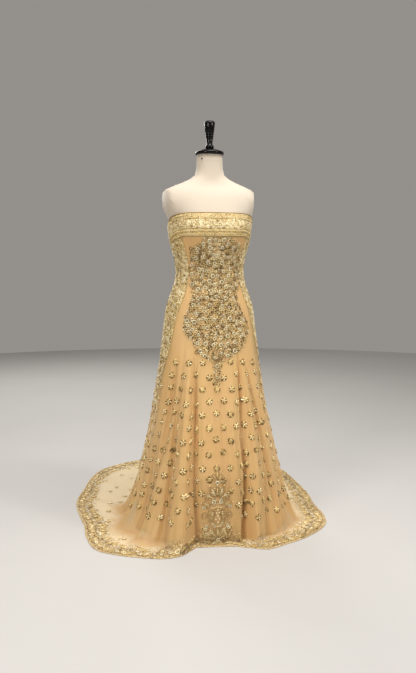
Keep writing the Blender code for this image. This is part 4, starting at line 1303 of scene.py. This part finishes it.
# The front ornament's right half: shape, metres right of the centre line, height above the
# floor, direction it points in (90 is up), size and tint. The left half mirrors it.
ORNAMENT = table(
    "shape across level spin size tint",
    ("drawn_leaf", 0.000, 0.258, 90, 1.50, 0.0),
    ("drawn_leaf", 0.000, 0.256, 40, 1.30, 0.0),
    ("ring", 0.000, 0.243, 90, 1.20, 0.1),
    ("drawn_leaf", 0.000, 0.188, 90, 2.00, 0.0),
    ("drawn_leaf", 0.006, 0.190, 58, 2.10, 0.0),
    ("drawn_leaf", 0.012, 0.180, 26, 1.90, 0.0),
    ("scroll", 0.058, 0.196, 70, 1.30, 0.0),
    ("rosette", 0.017, 0.168, 0, 1.10, 0.1),
    ("drawn_leaf", 0.030, 0.158, 8, 1.70, 0.0),
    ("ring", 0.064, 0.146, 0, 0.95, 0.1),
    ("scroll", 0.044, 0.132, 30, 1.80, 0.0),
    ("scroll", 0.018, 0.120, 150, 1.50, 0.0),
    ("pearl", 0.000, 0.138, 90, 1.30, 0.0),
    ("pearl", 0.006, 0.126, 90, 1.20, 0.0),
    ("pearl", 0.000, 0.114, 90, 1.30, 0.0),
    ("pearl", 0.008, 0.102, 90, 1.20, 0.0),
    ("pearl", 0.000, 0.090, 90, 1.30, 0.0),
    ("drawn_leaf", 0.010, 0.078, 40, 1.60, 0.0),
    ("drawn_leaf", 0.030, 0.092, 100, 1.30, 0.0),
    ("scroll", 0.066, 0.100, -60, 1.60, 0.0),
    ("rosette", 0.050, 0.070, 0, 0.95, 0.1),
    ("drawn_leaf", 0.000, 0.030, 90, 1.90, 0.0),
    ("drawn_leaf", 0.004, 0.028, 52, 1.80, 0.0),
    ("drawn_leaf", 0.008, 0.024, 18, 1.60, 0.0),
    ("ring", 0.028, 0.052, 0, 1.00, 0.1),
    ("drawn_leaf", 0.048, 0.018, 110, 1.60, 0.0),
    ("drawn_leaf", 0.050, 0.018, 64, 1.60, 0.0),
    ("rosette", 0.000, 0.020, 90, 1.00, 0.1),
)


def in_ornament(turn, level, margin=0.0):
    """True inside the spear-shaped ornament over the centre front hem."""
    off = abs(turn - centre_turn(level)) * HEM_DEGREE
    share = (ORNAMENT_TOP - level) / ORNAMENT_TOP
    return share >= 0 and off < ORNAMENT_HALF_WIDTH * min(1.0, share * ORNAMENT_TAPER) + margin


def ornament_stitches(rng):
    """A mirrored ornament of leaves, scrolls, rings and pearls over the centre front hem."""
    stitches = []

    def pair(kind, across, level, spin, size, tint):
        middle = centre_turn(level)
        stitches.append(Sewn(kind, middle + across / HEM_DEGREE, level, spin, size, tint))
        if across or spin != 90:
            other = "counter_scroll" if kind == "scroll" else kind
            stitches.append(Sewn(other, middle - across / HEM_DEGREE, level, 180 - spin, size,
                                 tint))

    for row in ORNAMENT:
        pair(*row)
    for step in range(GARLAND_SEEDS):
        pair("seed", 0.004 + step * 0.0075, 0.150 - 0.006 * math.sin(step * 0.8), 0, 1.5, 0.3)
    for _ in range(ORNAMENT_TRIES):
        across = rng.uniform(0.004, ORNAMENT_HALF_WIDTH)
        level = rng.uniform(0.012, 0.225)
        if in_ornament(centre_turn(level) + across / HEM_DEGREE, level):
            pair(rng.choice(("seed", "loop"), p=(0.6, 0.4)), across, level, 0,
                 rng.uniform(0.8, 1.2), rng.choice((-0.4, -0.2, 0.1, 0.4)))
    return stitches


# The border's rows: steps along the edge of the hem, in metres, and how far up from it
SCALLOP_STEP = 0.0092
HEM_RING_STEP = 0.032
HEM_SCROLL_STEP = 0.050
HEM_SEED_STEP = 0.0062
HEM_SEED_ROWS = (0.010, 0.017, 0.024, 0.032, 0.041, 0.051, 0.062, 0.075, 0.090)
HEM_FANS = (30, 62, 92, 122, 152)       # directions of the leaves between the rings
HEM_SPRAYS = (50, 90, 130)              # and of those above them
HEM_SEED_SHARE = 0.88                   # of the seeds that is sewn at the edge
HEM_SEED_FADE = 7.0                     # share lost for each metre further up
FLOOR_TURN = 0.004      # a bead on the bend at the floor is sewn this high


def hem_stitches(rng):
    """The beaded border: rings, leaves, scrolls and seeds, above the hem all round."""
    turns = np.arange(-180, 180, 0.25)
    points = tulle_points(turns, -floor_run(turns))
    arc = np.concatenate(([0], np.cumsum(np.linalg.norm(np.diff(points, axis=0), axis=1))))
    stitches = []

    def put(kind, along, up, spin, size, tint):
        turn = np.interp(along, arc, turns)
        level = up - floor_run(turn)
        if -0.002 < level < FLOOR_TURN:
            level = FLOOR_TURN
        stitches.append(Sewn(kind, turn, level, spin, size, tint))

    for along in np.arange(0.01, arc[-1], SCALLOP_STEP):
        put("scallop", along, 0.004, 0, 0.86, rng.uniform(-0.3, 0.1))
    for along in np.arange(0.02, arc[-1], HEM_RING_STEP):
        place = along + rng.normal(0, 0.005)
        put("rosette" if rng.random() < 0.45 else "ring", place, rng.uniform(0.018, 0.034),
            rng.uniform(0, 360), rng.uniform(0.85, 1.15), rng.uniform(-0.12, 0.08))
        for spin in HEM_FANS:
            put("drawn_leaf", place + HEM_RING_STEP / 2, rng.uniform(0.012, 0.020),
                spin + rng.normal(0, 6), rng.uniform(0.95, 1.30), rng.uniform(-0.10, 0.12))
    for along in np.arange(0.03, arc[-1], HEM_SCROLL_STEP):
        place = along + rng.normal(0, 0.008)
        put("scroll", place, rng.uniform(0.046, 0.062), rng.uniform(0, 360), 1.25, -0.1)
        put("ring", place + 0.024, rng.uniform(0.048, 0.070), 0, rng.uniform(0.7, 1.0), 0.0)
        for spin in HEM_SPRAYS:
            put("drawn_leaf", place + 0.010, rng.uniform(0.052, 0.066), spin + rng.normal(0, 12),
                rng.uniform(1.0, 1.4), 0.1)
    for along in np.arange(0.0, arc[-1], HEM_SEED_STEP):
        for up in HEM_SEED_ROWS:
            if rng.random() < HEM_SEED_SHARE - up * HEM_SEED_FADE:
                put("seed", along + rng.normal(0, 0.002), up + rng.normal(0, 0.003), 0,
                    rng.uniform(0.85, 1.35), rng.choice((-0.45, -0.2, 0.05, 0.30)))
    return stitches


# Where lace lies on the train: turns, and metres out from where the cloth meets the floor.
TRAIN_PATCHES = table(
    "turn_from turn_to inner",
    (-104, -66, 0.012),
    (60, 112, 0.012),
    (-180, -140, 0.30),
    (140, 180, 0.30),
)
TRAIN_LACE_STEP = 1.05      # degrees
TRAIN_LACE_ROW = 0.0115
TRAIN_LACE_EDGE = 0.012     # metres from the edge of the hem
TRAIN_LACE_MISSED = 0.40    # share of its beads that is left out


def train_stitches(rng):
    """Denser lace where the train spreads on the floor."""
    stitches = []
    for patch in TRAIN_PATCHES:
        for turn in np.arange(patch.turn_from, patch.turn_to, TRAIN_LACE_STEP):
            for out in np.arange(patch.inner, floor_run(turn) - TRAIN_LACE_EDGE, TRAIN_LACE_ROW):
                if rng.random() < TRAIN_LACE_MISSED:
                    continue
                kind = rng.choice(("seed", "bugle", "ring", "leaf"), p=(0.66, 0.22, 0.05, 0.07))
                stitches.append(Sewn(kind, turn + rng.normal(0, 0.3), -out + rng.normal(0, 0.003),
                                     rng.uniform(0, 360), rng.uniform(0.85, 1.2),
                                     rng.choice((0.0, 0.2, 0.35))))
    return stitches


def make_cords(material):
    """The band's four cords and the piping along the neckline, as round cords."""
    turns = np.arange(-179.2, 179.3, 1.2)
    for number, depth in enumerate(BAND_LINES):
        along_cord("band_cord_%d" % (number + 1), turns, neckline_height(turns) - depth,
                   ON_BAND, CORD_RADIUS, material)
    turns = np.arange(-179.0, 179.1, 1.0)
    piece = along_cord("piping", turns, neckline_height(turns) + PIPING_RISE, PIPING_LIFT,
                       PIPING_RADIUS, material)
    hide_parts("neckline_piping")


def along_cord(name, turns, levels, lift, radius, material):
    """A round cord that follows the outer layer."""
    points, normals, _ = tulle_frame(turns, levels)
    path = points + normals * lift
    ahead = np.gradient(path, axis=0)
    ahead /= np.linalg.norm(ahead, axis=1, keepdims=True)
    up = np.cross(normals, ahead)
    angle = np.arange(CORD_SIDES) * 2 * math.pi / CORD_SIDES
    twist = 1 + CORD_TWIST * np.sin(np.arange(len(turns)) * 2.1)[:, None, None]
    ring = (normals[:, None] * np.cos(angle)[None, :, None]
            + up[:, None] * np.sin(angle)[None, :, None]) * radius * twist
    points = (path[:, None] + ring).reshape(-1, 3)
    corner = np.arange(len(turns) * CORD_SIDES).reshape(-1, CORD_SIDES)
    beside = np.roll(corner, -1, axis=1)
    faces = np.stack((corner[:-1], corner[1:], beside[1:], beside[:-1]), axis=-1).reshape(-1, 4)
    piece = new_piece(name, points, faces, material)
    return piece


# ---- materials -------------------------------------------------------------------------
class Nodes:
    """Short names for making and joining the nodes of one tree."""

    def __init__(self, tree):
        self.tree = tree

    def put(self, value, socket):
        """Joins what varies to a socket, or sets the socket to a plain value."""
        if isinstance(value, bpy.types.NodeSocket):
            self.tree.links.new(value, socket)
        else:
            socket.default_value = (*value, 1.0) if isinstance(value, tuple) else value

    def add(self, kind, settings=None, **sockets):
        """A node with its settings made and its input sockets filled, by their names."""
        node = self.tree.nodes.new("ShaderNode" + kind)
        for name, value in (settings or {}).items():
            setattr(node, name, value)
        for name, value in sockets.items():
            self.put(value, node.inputs[name.replace("_", " ")])
        return node

    def mix(self, share, first, second):
        """Colour between two colours or colour sockets."""
        node = self.add("Mix", {"data_type": "RGBA"})
        for number, value in ((0, share), (6, first), (7, second)):
            self.put(value, node.inputs[number])
        return node.outputs[2]

    def math(self, operation, first, second):
        node = self.add("Math", {"operation": operation})
        self.put(first, node.inputs[0])
        self.put(second, node.inputs[1])
        return node.outputs[0]

    def times(self, first, second):
        return self.math("MULTIPLY", first, second)

    def plus(self, first, second):
        return self.math("ADD", first, second)

    def spread(self, value, low, high, out_low, out_high):
        """A value moved from one range to another."""
        return self.add("MapRange", Value=value, From_Min=low, From_Max=high, To_Min=out_low,
                        To_Max=out_high).outputs["Result"]

    def noise(self, vector, scale, detail):
        return self.add("TexNoise", Vector=vector, Scale=scale, Detail=detail).outputs["Fac"]

    def ramp(self, value, *stops):
        """Colour read off a row of stops, each a place and a colour."""
        node = self.add("ValToRGB", Fac=value)
        while len(node.color_ramp.elements) < len(stops):
            node.color_ramp.elements.new(0.5)
        for element, (place, colour) in zip(node.color_ramp.elements, stops):
            element.position = place
            element.color = (*colour, 1.0)
        return node.outputs[0]


def new_group(name, number, *outputs):
    """An empty group with a vector and a number going in; returns its nodes and sockets."""
    tree = bpy.data.node_groups.new(name, "ShaderNodeTree")
    for socket, kind in (("Vector", "Vector"), (number, "Float")):
        tree.interface.new_socket(socket, in_out="INPUT", socket_type="NodeSocket" + kind)
    for socket in outputs:
        tree.interface.new_socket(socket, in_out="OUTPUT", socket_type="NodeSocketFloat")
    given = tree.nodes.new("NodeGroupInput").outputs
    return Nodes(tree), given["Vector"], given[number], tree.nodes.new("NodeGroupOutput").inputs


def mottle_group():
    """Soft uneven patches, as in cloth that has been handled."""
    nodes, place, scale, result = new_group("mottle", "Scale", "Value")
    patches = nodes.noise(place, scale, 4.0)
    nodes.put(nodes.spread(patches, 0.32, 0.68, 0.0, 1.0), result["Value"])
    return nodes.tree


def weave_group():
    """Threads that cross each other."""
    nodes, place, threads, result = new_group("weave", "Threads", "Height")
    waves = [nodes.add("TexWave", {"bands_direction": direction}, Vector=place, Scale=threads,
                       Distortion=0.8).outputs["Fac"] for direction in ("X", "Z")]
    nodes.put(nodes.times(*waves), result["Height"])
    return nodes.tree


def beadwork_group():
    """Small beads side by side: their domes, each one's tone, and the gaps between them."""
    nodes, place, beads, result = new_group("beadwork", "Beads", "Height", "Tone", "Gaps")
    cells = nodes.add("TexVoronoi", Vector=place, Scale=beads).outputs
    nodes.put(nodes.spread(cells["Distance"], 0.0, 0.62, 1.0, 0.0), result["Height"])
    nodes.put(nodes.add("SeparateColor", Color=cells["Color"]).outputs[0], result["Tone"])
    nodes.put(nodes.spread(cells["Distance"], 0.42, 0.62, 0.0, 1.0), result["Gaps"])
    return nodes.tree


class Finish(Nodes):
    """A material in the making, with its shader and the groups that it may use."""

    def __init__(self, name, groups, **constants):
        self.material = bpy.data.materials.new(name)
        self.material.use_nodes = True
        super().__init__(self.material.node_tree)
        self.groups = groups
        self.shader = self.tree.nodes["Principled BSDF"].inputs
        self.coat(**constants)
        self.place = self.add("TexCoord").outputs["Object"]

    def coat(self, **sockets):
        """Fills the shader's sockets, by their names."""
        for name, value in sockets.items():
            self.put(value, self.shader[name.replace("_", " ")])

    def use(self, group, number):
        """A group placed on the piece, with its one number set."""
        node = self.add("Group", {"node_tree": self.groups[group]}, Vector=self.place)
        node.inputs[1].default_value = number
        return node.outputs

    def named(self, name):
        """A number that the piece gives for each of its points."""
        return self.add("Attribute", {"attribute_name": name}).outputs["Fac"]

    def relief(self, height, strength, distance):
        """Raises the surface by a height that varies over it."""
        bump = self.add("Bump", Strength=strength, Distance=distance, Height=height)
        self.coat(Normal=bump.outputs["Normal"])


def gold_tulle(groups):
    """Sheer net: denser edge-on and darker where threads cover it, with painted shade on its
    steep fold sides, in its troughs and down the front's middle, and painted light where it lies
    on the floor.
    """
    tulle = Finish("gold_tulle", groups, Sheen_Weight=0.35, Sheen_Roughness=0.45,
                   Sheen_Tint=(1.0, 0.86, 0.62))
    mottle = tulle.use("mottle", 5.0)["Value"]
    beads = tulle.use("beadwork", 260.0)
    weave = tulle.use("weave", 190.0)["Height"]
    veil_and_shade, trough_shade, worked, lying = (
        tulle.named(name) for name in ("veil_and_shade", "trough_shade", "worked", "lying"))
    # Painted shade: steep fold sides and troughs are darkened.
    painted_shade = tulle.math("MAXIMUM", tulle.spread(veil_and_shade, 0.02, 0.40, 0.0, 0.85),
                        tulle.times(trough_shade, 0.75))
    plain = tulle.mix(painted_shade, tulle.mix(mottle, TULLE_LIGHT, TULLE_DEEP), TULLE_PAINTED_SHADE)
    # Painted light: the cloth that lies on the floor is made paler.
    floor_lit = tulle.mix(tulle.times(lying, 0.9), plain, TULLE_LIT_ON_FLOOR)
    thread = tulle.ramp(beads["Tone"], (0.0, BEAD_BRONZE), (0.5, TULLE_WORKED), (1.0, TULLE_DEEP))
    dense = tulle.plus(tulle.spread(veil_and_shade, 0.0, 0.6, 0.48, 0.92),
                       tulle.spread(mottle, 0.0, 1.0, -0.03, 0.05))
    dense = tulle.math("SUBTRACT", dense, tulle.times(lying, 0.02))
    tulle.coat(Base_Color=tulle.mix(tulle.times(worked, 0.85), floor_lit, thread),
               Roughness=tulle.spread(mottle, 0.0, 1.0, 0.50, 0.66),
               Alpha=tulle.math("MAXIMUM", dense, tulle.times(worked, 0.95)))
    tulle.relief(tulle.plus(tulle.times(weave, 0.15), tulle.times(beads["Height"], worked)),
                 0.35, 0.0012)
    return tulle.material


def nude_satin(groups):
    """The under layer: dull side out, with a fine weave."""
    satin = Finish("nude_satin", groups, Sheen_Weight=0.2, Sheen_Roughness=0.4)
    weave = satin.use("weave", 260.0)["Height"]
    satin.coat(Base_Color=satin.mix(satin.use("mottle", 3.2)["Value"], SATIN_LIGHT, SATIN_DEEP),
               Roughness=satin.spread(weave, 0.0, 1.0, 0.42, 0.55))
    satin.relief(weave, 0.12, 0.0004)
    return satin.material


def gold_beading(groups):
    """The ground of the band and the side strips: seed beads sewn edge to edge."""
    beading = Finish("gold_beading", groups)
    beads = beading.use("beadwork", 330.0)
    mottle = beading.use("mottle", 24.0)["Value"]
    tone = beading.plus(beading.times(beads["Tone"], 0.75), beading.times(mottle, 0.25))
    colour = beading.ramp(tone, (0.0, BEAD_BRONZE), (0.35, BEAD_GOLD), (0.75, BEAD_PALE),
                          (1.0, BEAD_CREAM))
    beading.coat(Base_Color=beading.mix(beading.times(beads["Gaps"], 0.7), colour, BEAD_DARK),
                 Roughness=beading.spread(beads["Tone"], 0.0, 1.0, 0.25, 0.5),
                 Metallic=beading.spread(beads["Gaps"], 0.0, 1.0, 0.2, 0.0))
    beading.relief(beads["Height"], 0.8, 0.0015)
    return beading.material


def glass_beads(groups):
    """Beads and threads, each tinted by its own number from dark bronze to cream."""
    glass = Finish("glass_beads", groups, Coat_Roughness=0.12)
    tint = glass.named("tint")
    speck = glass.noise(glass.place, 900.0, 1.0)
    shade = glass.plus(tint, glass.spread(speck, 0.3, 0.7, -0.07, 0.07))
    glass.coat(Base_Color=glass.ramp(shade, (DARK, BEAD_DARK), (BRONZE, BEAD_BRONZE),
                                     (GOLD, BEAD_GOLD), (PALE, BEAD_PALE), (CREAM, BEAD_CREAM)),
               Roughness=glass.spread(speck, 0.3, 0.7, 0.16, 0.42),
               Metallic=glass.spread(tint, 0.2, 0.8, 0.30, 0.05),
               Coat_Weight=glass.spread(tint, 0.3, 1.0, 0.2, 0.7))
    return glass.material


def old_gold_cord(groups):
    """Twisted metal thread, dark between its strands."""
    cord = Finish("old_gold_cord", groups)
    strand = cord.add("TexWave", {"bands_direction": "DIAGONAL"}, Vector=cord.place, Scale=170.0,
                      Distortion=1.5).outputs["Fac"]
    cord.coat(Base_Color=cord.mix(strand, CORD_DARK, CORD_LIGHT),
              Roughness=cord.spread(strand, 0.0, 1.0, 0.6, 0.35),
              Metallic=cord.spread(strand, 0.0, 1.0, 0.2, 0.6))
    cord.relief(strand, 0.6, 0.0006)
    return cord.material


def cream_jersey(groups):
    """The fine knit that covers the dress form."""
    jersey = Finish("cream_jersey", groups, Sheen_Weight=0.25, Sheen_Roughness=0.5)
    weave = jersey.use("weave", 330.0)["Height"]
    jersey.coat(Base_Color=jersey.mix(jersey.use("mottle", 7.0)["Value"], CREAM_LIGHT,
                                      CREAM_DEEP),
                Roughness=jersey.spread(weave, 0.0, 1.0, 0.70, 0.84))
    jersey.relief(weave, 0.18, 0.0004)
    return jersey.material


def black_lacquer(groups):
    """Polished black, with a little dust and a few smudges."""
    lacquer = Finish("black_lacquer", groups, Coat_Roughness=0.06, Specular_IOR_Level=0.15)
    smudge = lacquer.use("mottle", 38.0)["Value"]
    dust = lacquer.spread(lacquer.noise(lacquer.place, 420.0, 6.0), 0.55, 0.80, 0.0, 0.3)
    lacquer.coat(Base_Color=lacquer.mix(dust, LACQUER_BLACK, LACQUER_DUST),
                 Roughness=lacquer.spread(smudge, 0.0, 1.0, 0.14, 0.24),
                 Coat_Weight=lacquer.spread(smudge, 0.0, 1.0, 0.02, 0.08))
    return lacquer.material


def black_steel(groups):
    """Painted steel, scuffed in patches."""
    steel = Finish("black_steel", groups)
    grain = steel.noise(steel.place, 520.0, 3.0)
    scuff = steel.use("mottle", 30.0)["Value"]
    steel.coat(Base_Color=steel.mix(scuff, STEEL_BLACK, STEEL_SCUFF),
               Roughness=steel.spread(scuff, 0.0, 1.0, 0.36, 0.52),
               Metallic=steel.spread(grain, 0.3, 0.7, 0.35, 0.6))
    steel.relief(grain, 0.25, 0.0004)
    return steel.material


def brass(groups):
    """Polished metal with fine scratches."""
    metal = Finish("brass", groups)
    scratch = metal.noise(metal.place, 1400.0, 4.0)
    metal.coat(Base_Color=metal.mix(scratch, BRASS_DEEP, BRASS_LIGHT),
               Roughness=metal.spread(scratch, 0.3, 0.7, 0.18, 0.36),
               Metallic=metal.spread(scratch, 0.2, 0.8, 0.9, 1.0))
    return metal.material


def studio_floor(groups):
    """A plain pale floor, very faintly mottled."""
    floor = Finish("studio_floor", groups)
    mottle = floor.use("mottle", 1.2)["Value"]
    floor.coat(Base_Color=floor.mix(mottle, FLOOR_LIGHT, FLOOR_DEEP),
               Roughness=floor.spread(mottle, 0.0, 1.0, 0.75, 0.85))
    return floor.material


def make_materials():
    """Every material, by its name."""
    groups = {"mottle": mottle_group(), "weave": weave_group(), "beadwork": beadwork_group()}
    makers = (gold_tulle, nude_satin, gold_beading, glass_beads, old_gold_cord, cream_jersey,
              black_lacquer, black_steel, brass, studio_floor)
    return {maker.__name__: maker(groups) for maker in makers}


def smooth_copy(name, materials, finish, body=BODY):
    """A copy of one of the frame's pieces, merged and smoothly shaded, in its place."""
    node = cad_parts[name]
    deselect()
    mesh = node.data.copy()
    mesh.transform(node.matrix_world)
    copy = bpy.data.objects.new(name + "_finished", mesh)
    bpy.context.scene.collection.objects.link(copy)
    copy.select_set(True)
    bpy.context.view_layer.objects.active = copy
    bpy.ops.object.mode_set(mode="EDIT")
    bpy.ops.mesh.select_all(action="SELECT")
    bpy.ops.mesh.remove_doubles(threshold=MERGE_DISTANCE)
    bpy.ops.object.mode_set(mode="OBJECT")
    bpy.ops.object.shade_smooth_by_angle(angle=SHARP_ANGLE)
    mesh.materials.clear()
    mesh.materials.append(materials[finish])
    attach(copy, body)
    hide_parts(name)


# ---- the studio ------------------------------------------------------------------------
CAMERA_HEIGHT = 1.10
CAMERA_DISTANCE = 3.0
CAMERA_AZIMUTH = -13.5
CAMERA_PITCH = 6.07
CAMERA_YAW = 0.12
LENS = 39.0
SENSOR = 36.0
FLOOR_RADIUS = 6.0
WORLD_STRENGTH = 0.32

LAMPS = table(
    "name place aim size power colour",
    ("key_lamp", (2.9, -2.9, 2.6), (0.0, 0.0, 0.8), 0.7, 66, (1.0, 0.97, 0.91)),
    ("fill_lamp", (-3.2, -3.0, 2.2), (0.0, 0.0, 0.6), 1.4, 92, (1.0, 0.96, 0.88)),
    ("top_lamp", (0.2, -0.8, 3.6), (0.0, 0.0, 0.6), 1.8, 112, (1.0, 0.98, 0.95)),
    ("back_lamp", (-0.6, 4.0, 2.9), (0.0, 0.4, 0.5), 1.8, 62, (1.0, 0.98, 0.94)),
)


def make_studio(material):
    """A round pale floor, four soft lamps and an even sky."""
    deselect()
    bpy.ops.mesh.primitive_circle_add(vertices=96, radius=FLOOR_RADIUS, fill_type="NGON")
    floor = bpy.context.object
    floor.name = "studio_floor"
    floor.data.materials.append(material)
    for lamp in LAMPS:
        data = bpy.data.lights.new(lamp.name, "AREA")
        data.energy = lamp.power
        data.size = lamp.size
        data.color = lamp.colour
        light = bpy.data.objects.new(lamp.name, data)
        light.location = lamp.place
        toward = Vector(lamp.aim) - Vector(lamp.place)
        light.rotation_euler = toward.to_track_quat("-Z", "Y").to_euler()
        bpy.context.scene.collection.objects.link(light)
    world = bpy.data.worlds.new("studio")
    world.use_nodes = True
    background = world.node_tree.nodes["Background"]
    background.inputs[0].default_value = WORLD_LIGHT
    background.inputs[1].default_value = WORLD_STRENGTH
    bpy.context.scene.world = world
    bpy.context.scene.view_settings.view_transform = "Standard"


def make_camera():
    """The camera, at the photograph's viewing angle."""
    data = bpy.data.cameras.new("camera")
    data.lens = LENS
    data.sensor_width = SENSOR
    camera = bpy.data.objects.new("camera", data)
    heading = math.radians(CAMERA_AZIMUTH)
    camera.location = (CAMERA_DISTANCE * math.sin(heading), -CAMERA_DISTANCE * math.cos(heading),
                       CAMERA_HEIGHT)
    camera.rotation_euler = (math.radians(90 - CAMERA_PITCH), 0.0,
                             heading + math.radians(CAMERA_YAW))
    bpy.context.scene.collection.objects.link(camera)
    bpy.context.scene.camera = camera


# ---- everything, in order --------------------------------------------------------------
def build():
    """Everything, in order: the beads' random draws come from one row of numbers."""
    make_camera()
    materials = make_materials()
    make_lining(materials["nude_satin"])
    make_panels(materials["gold_tulle"])
    make_band(materials["gold_beading"])
    make_side_shells(materials["gold_beading"])
    make_cords(materials["old_gold_cord"])

    rng = np.random.default_rng(SEED)
    shapes = make_shapes()

    def bead(name, stitches, lift):
        sew(name, stitches, shapes, materials["glass_beads"], lift)

    bead("medallion", medallion_stitches(rng), ON_TULLE)
    bead("band_beads", band_stitches(rng), ON_BAND)
    for name, side in SIDES:
        stitches = side_stitches(rng, side)
        on_shell = [stitch for stitch in stitches if stitch.level >= STRIP_SHELL_HEM]
        below = [stitch for stitch in stitches if stitch.level < STRIP_SHELL_HEM]
        bead("side_beads_" + name, on_shell, ON_STRIP)
        bead("side_trail_" + name, below, ON_TULLE)
    bead("sprigs", sprig_stitches(rng), ON_TULLE)
    bead("front_ornament", ornament_stitches(rng), ON_TULLE)
    border = hem_stitches(rng)
    bead("hem_border_left", [stitch for stitch in border if stitch.turn < 0], ON_TULLE)
    bead("hem_border_right", [stitch for stitch in border if stitch.turn >= 0], ON_TULLE)
    bead("train_lace", train_stitches(rng), ON_TULLE)

    smooth_copy("form_torso", materials, "cream_jersey")
    for name in ("neck_cap", "cap_handle"):
        smooth_copy(name, materials, "black_lacquer")
    for name in ("neck_screw", "stand_pole", "stand_base"):
        smooth_copy(name, materials, "black_steel")
    smooth_copy("zip_slider", materials, "brass")
    smooth_copy("zip_pull", materials, "brass", PULL_BODY)
    make_studio(materials["studio_floor"])


build()
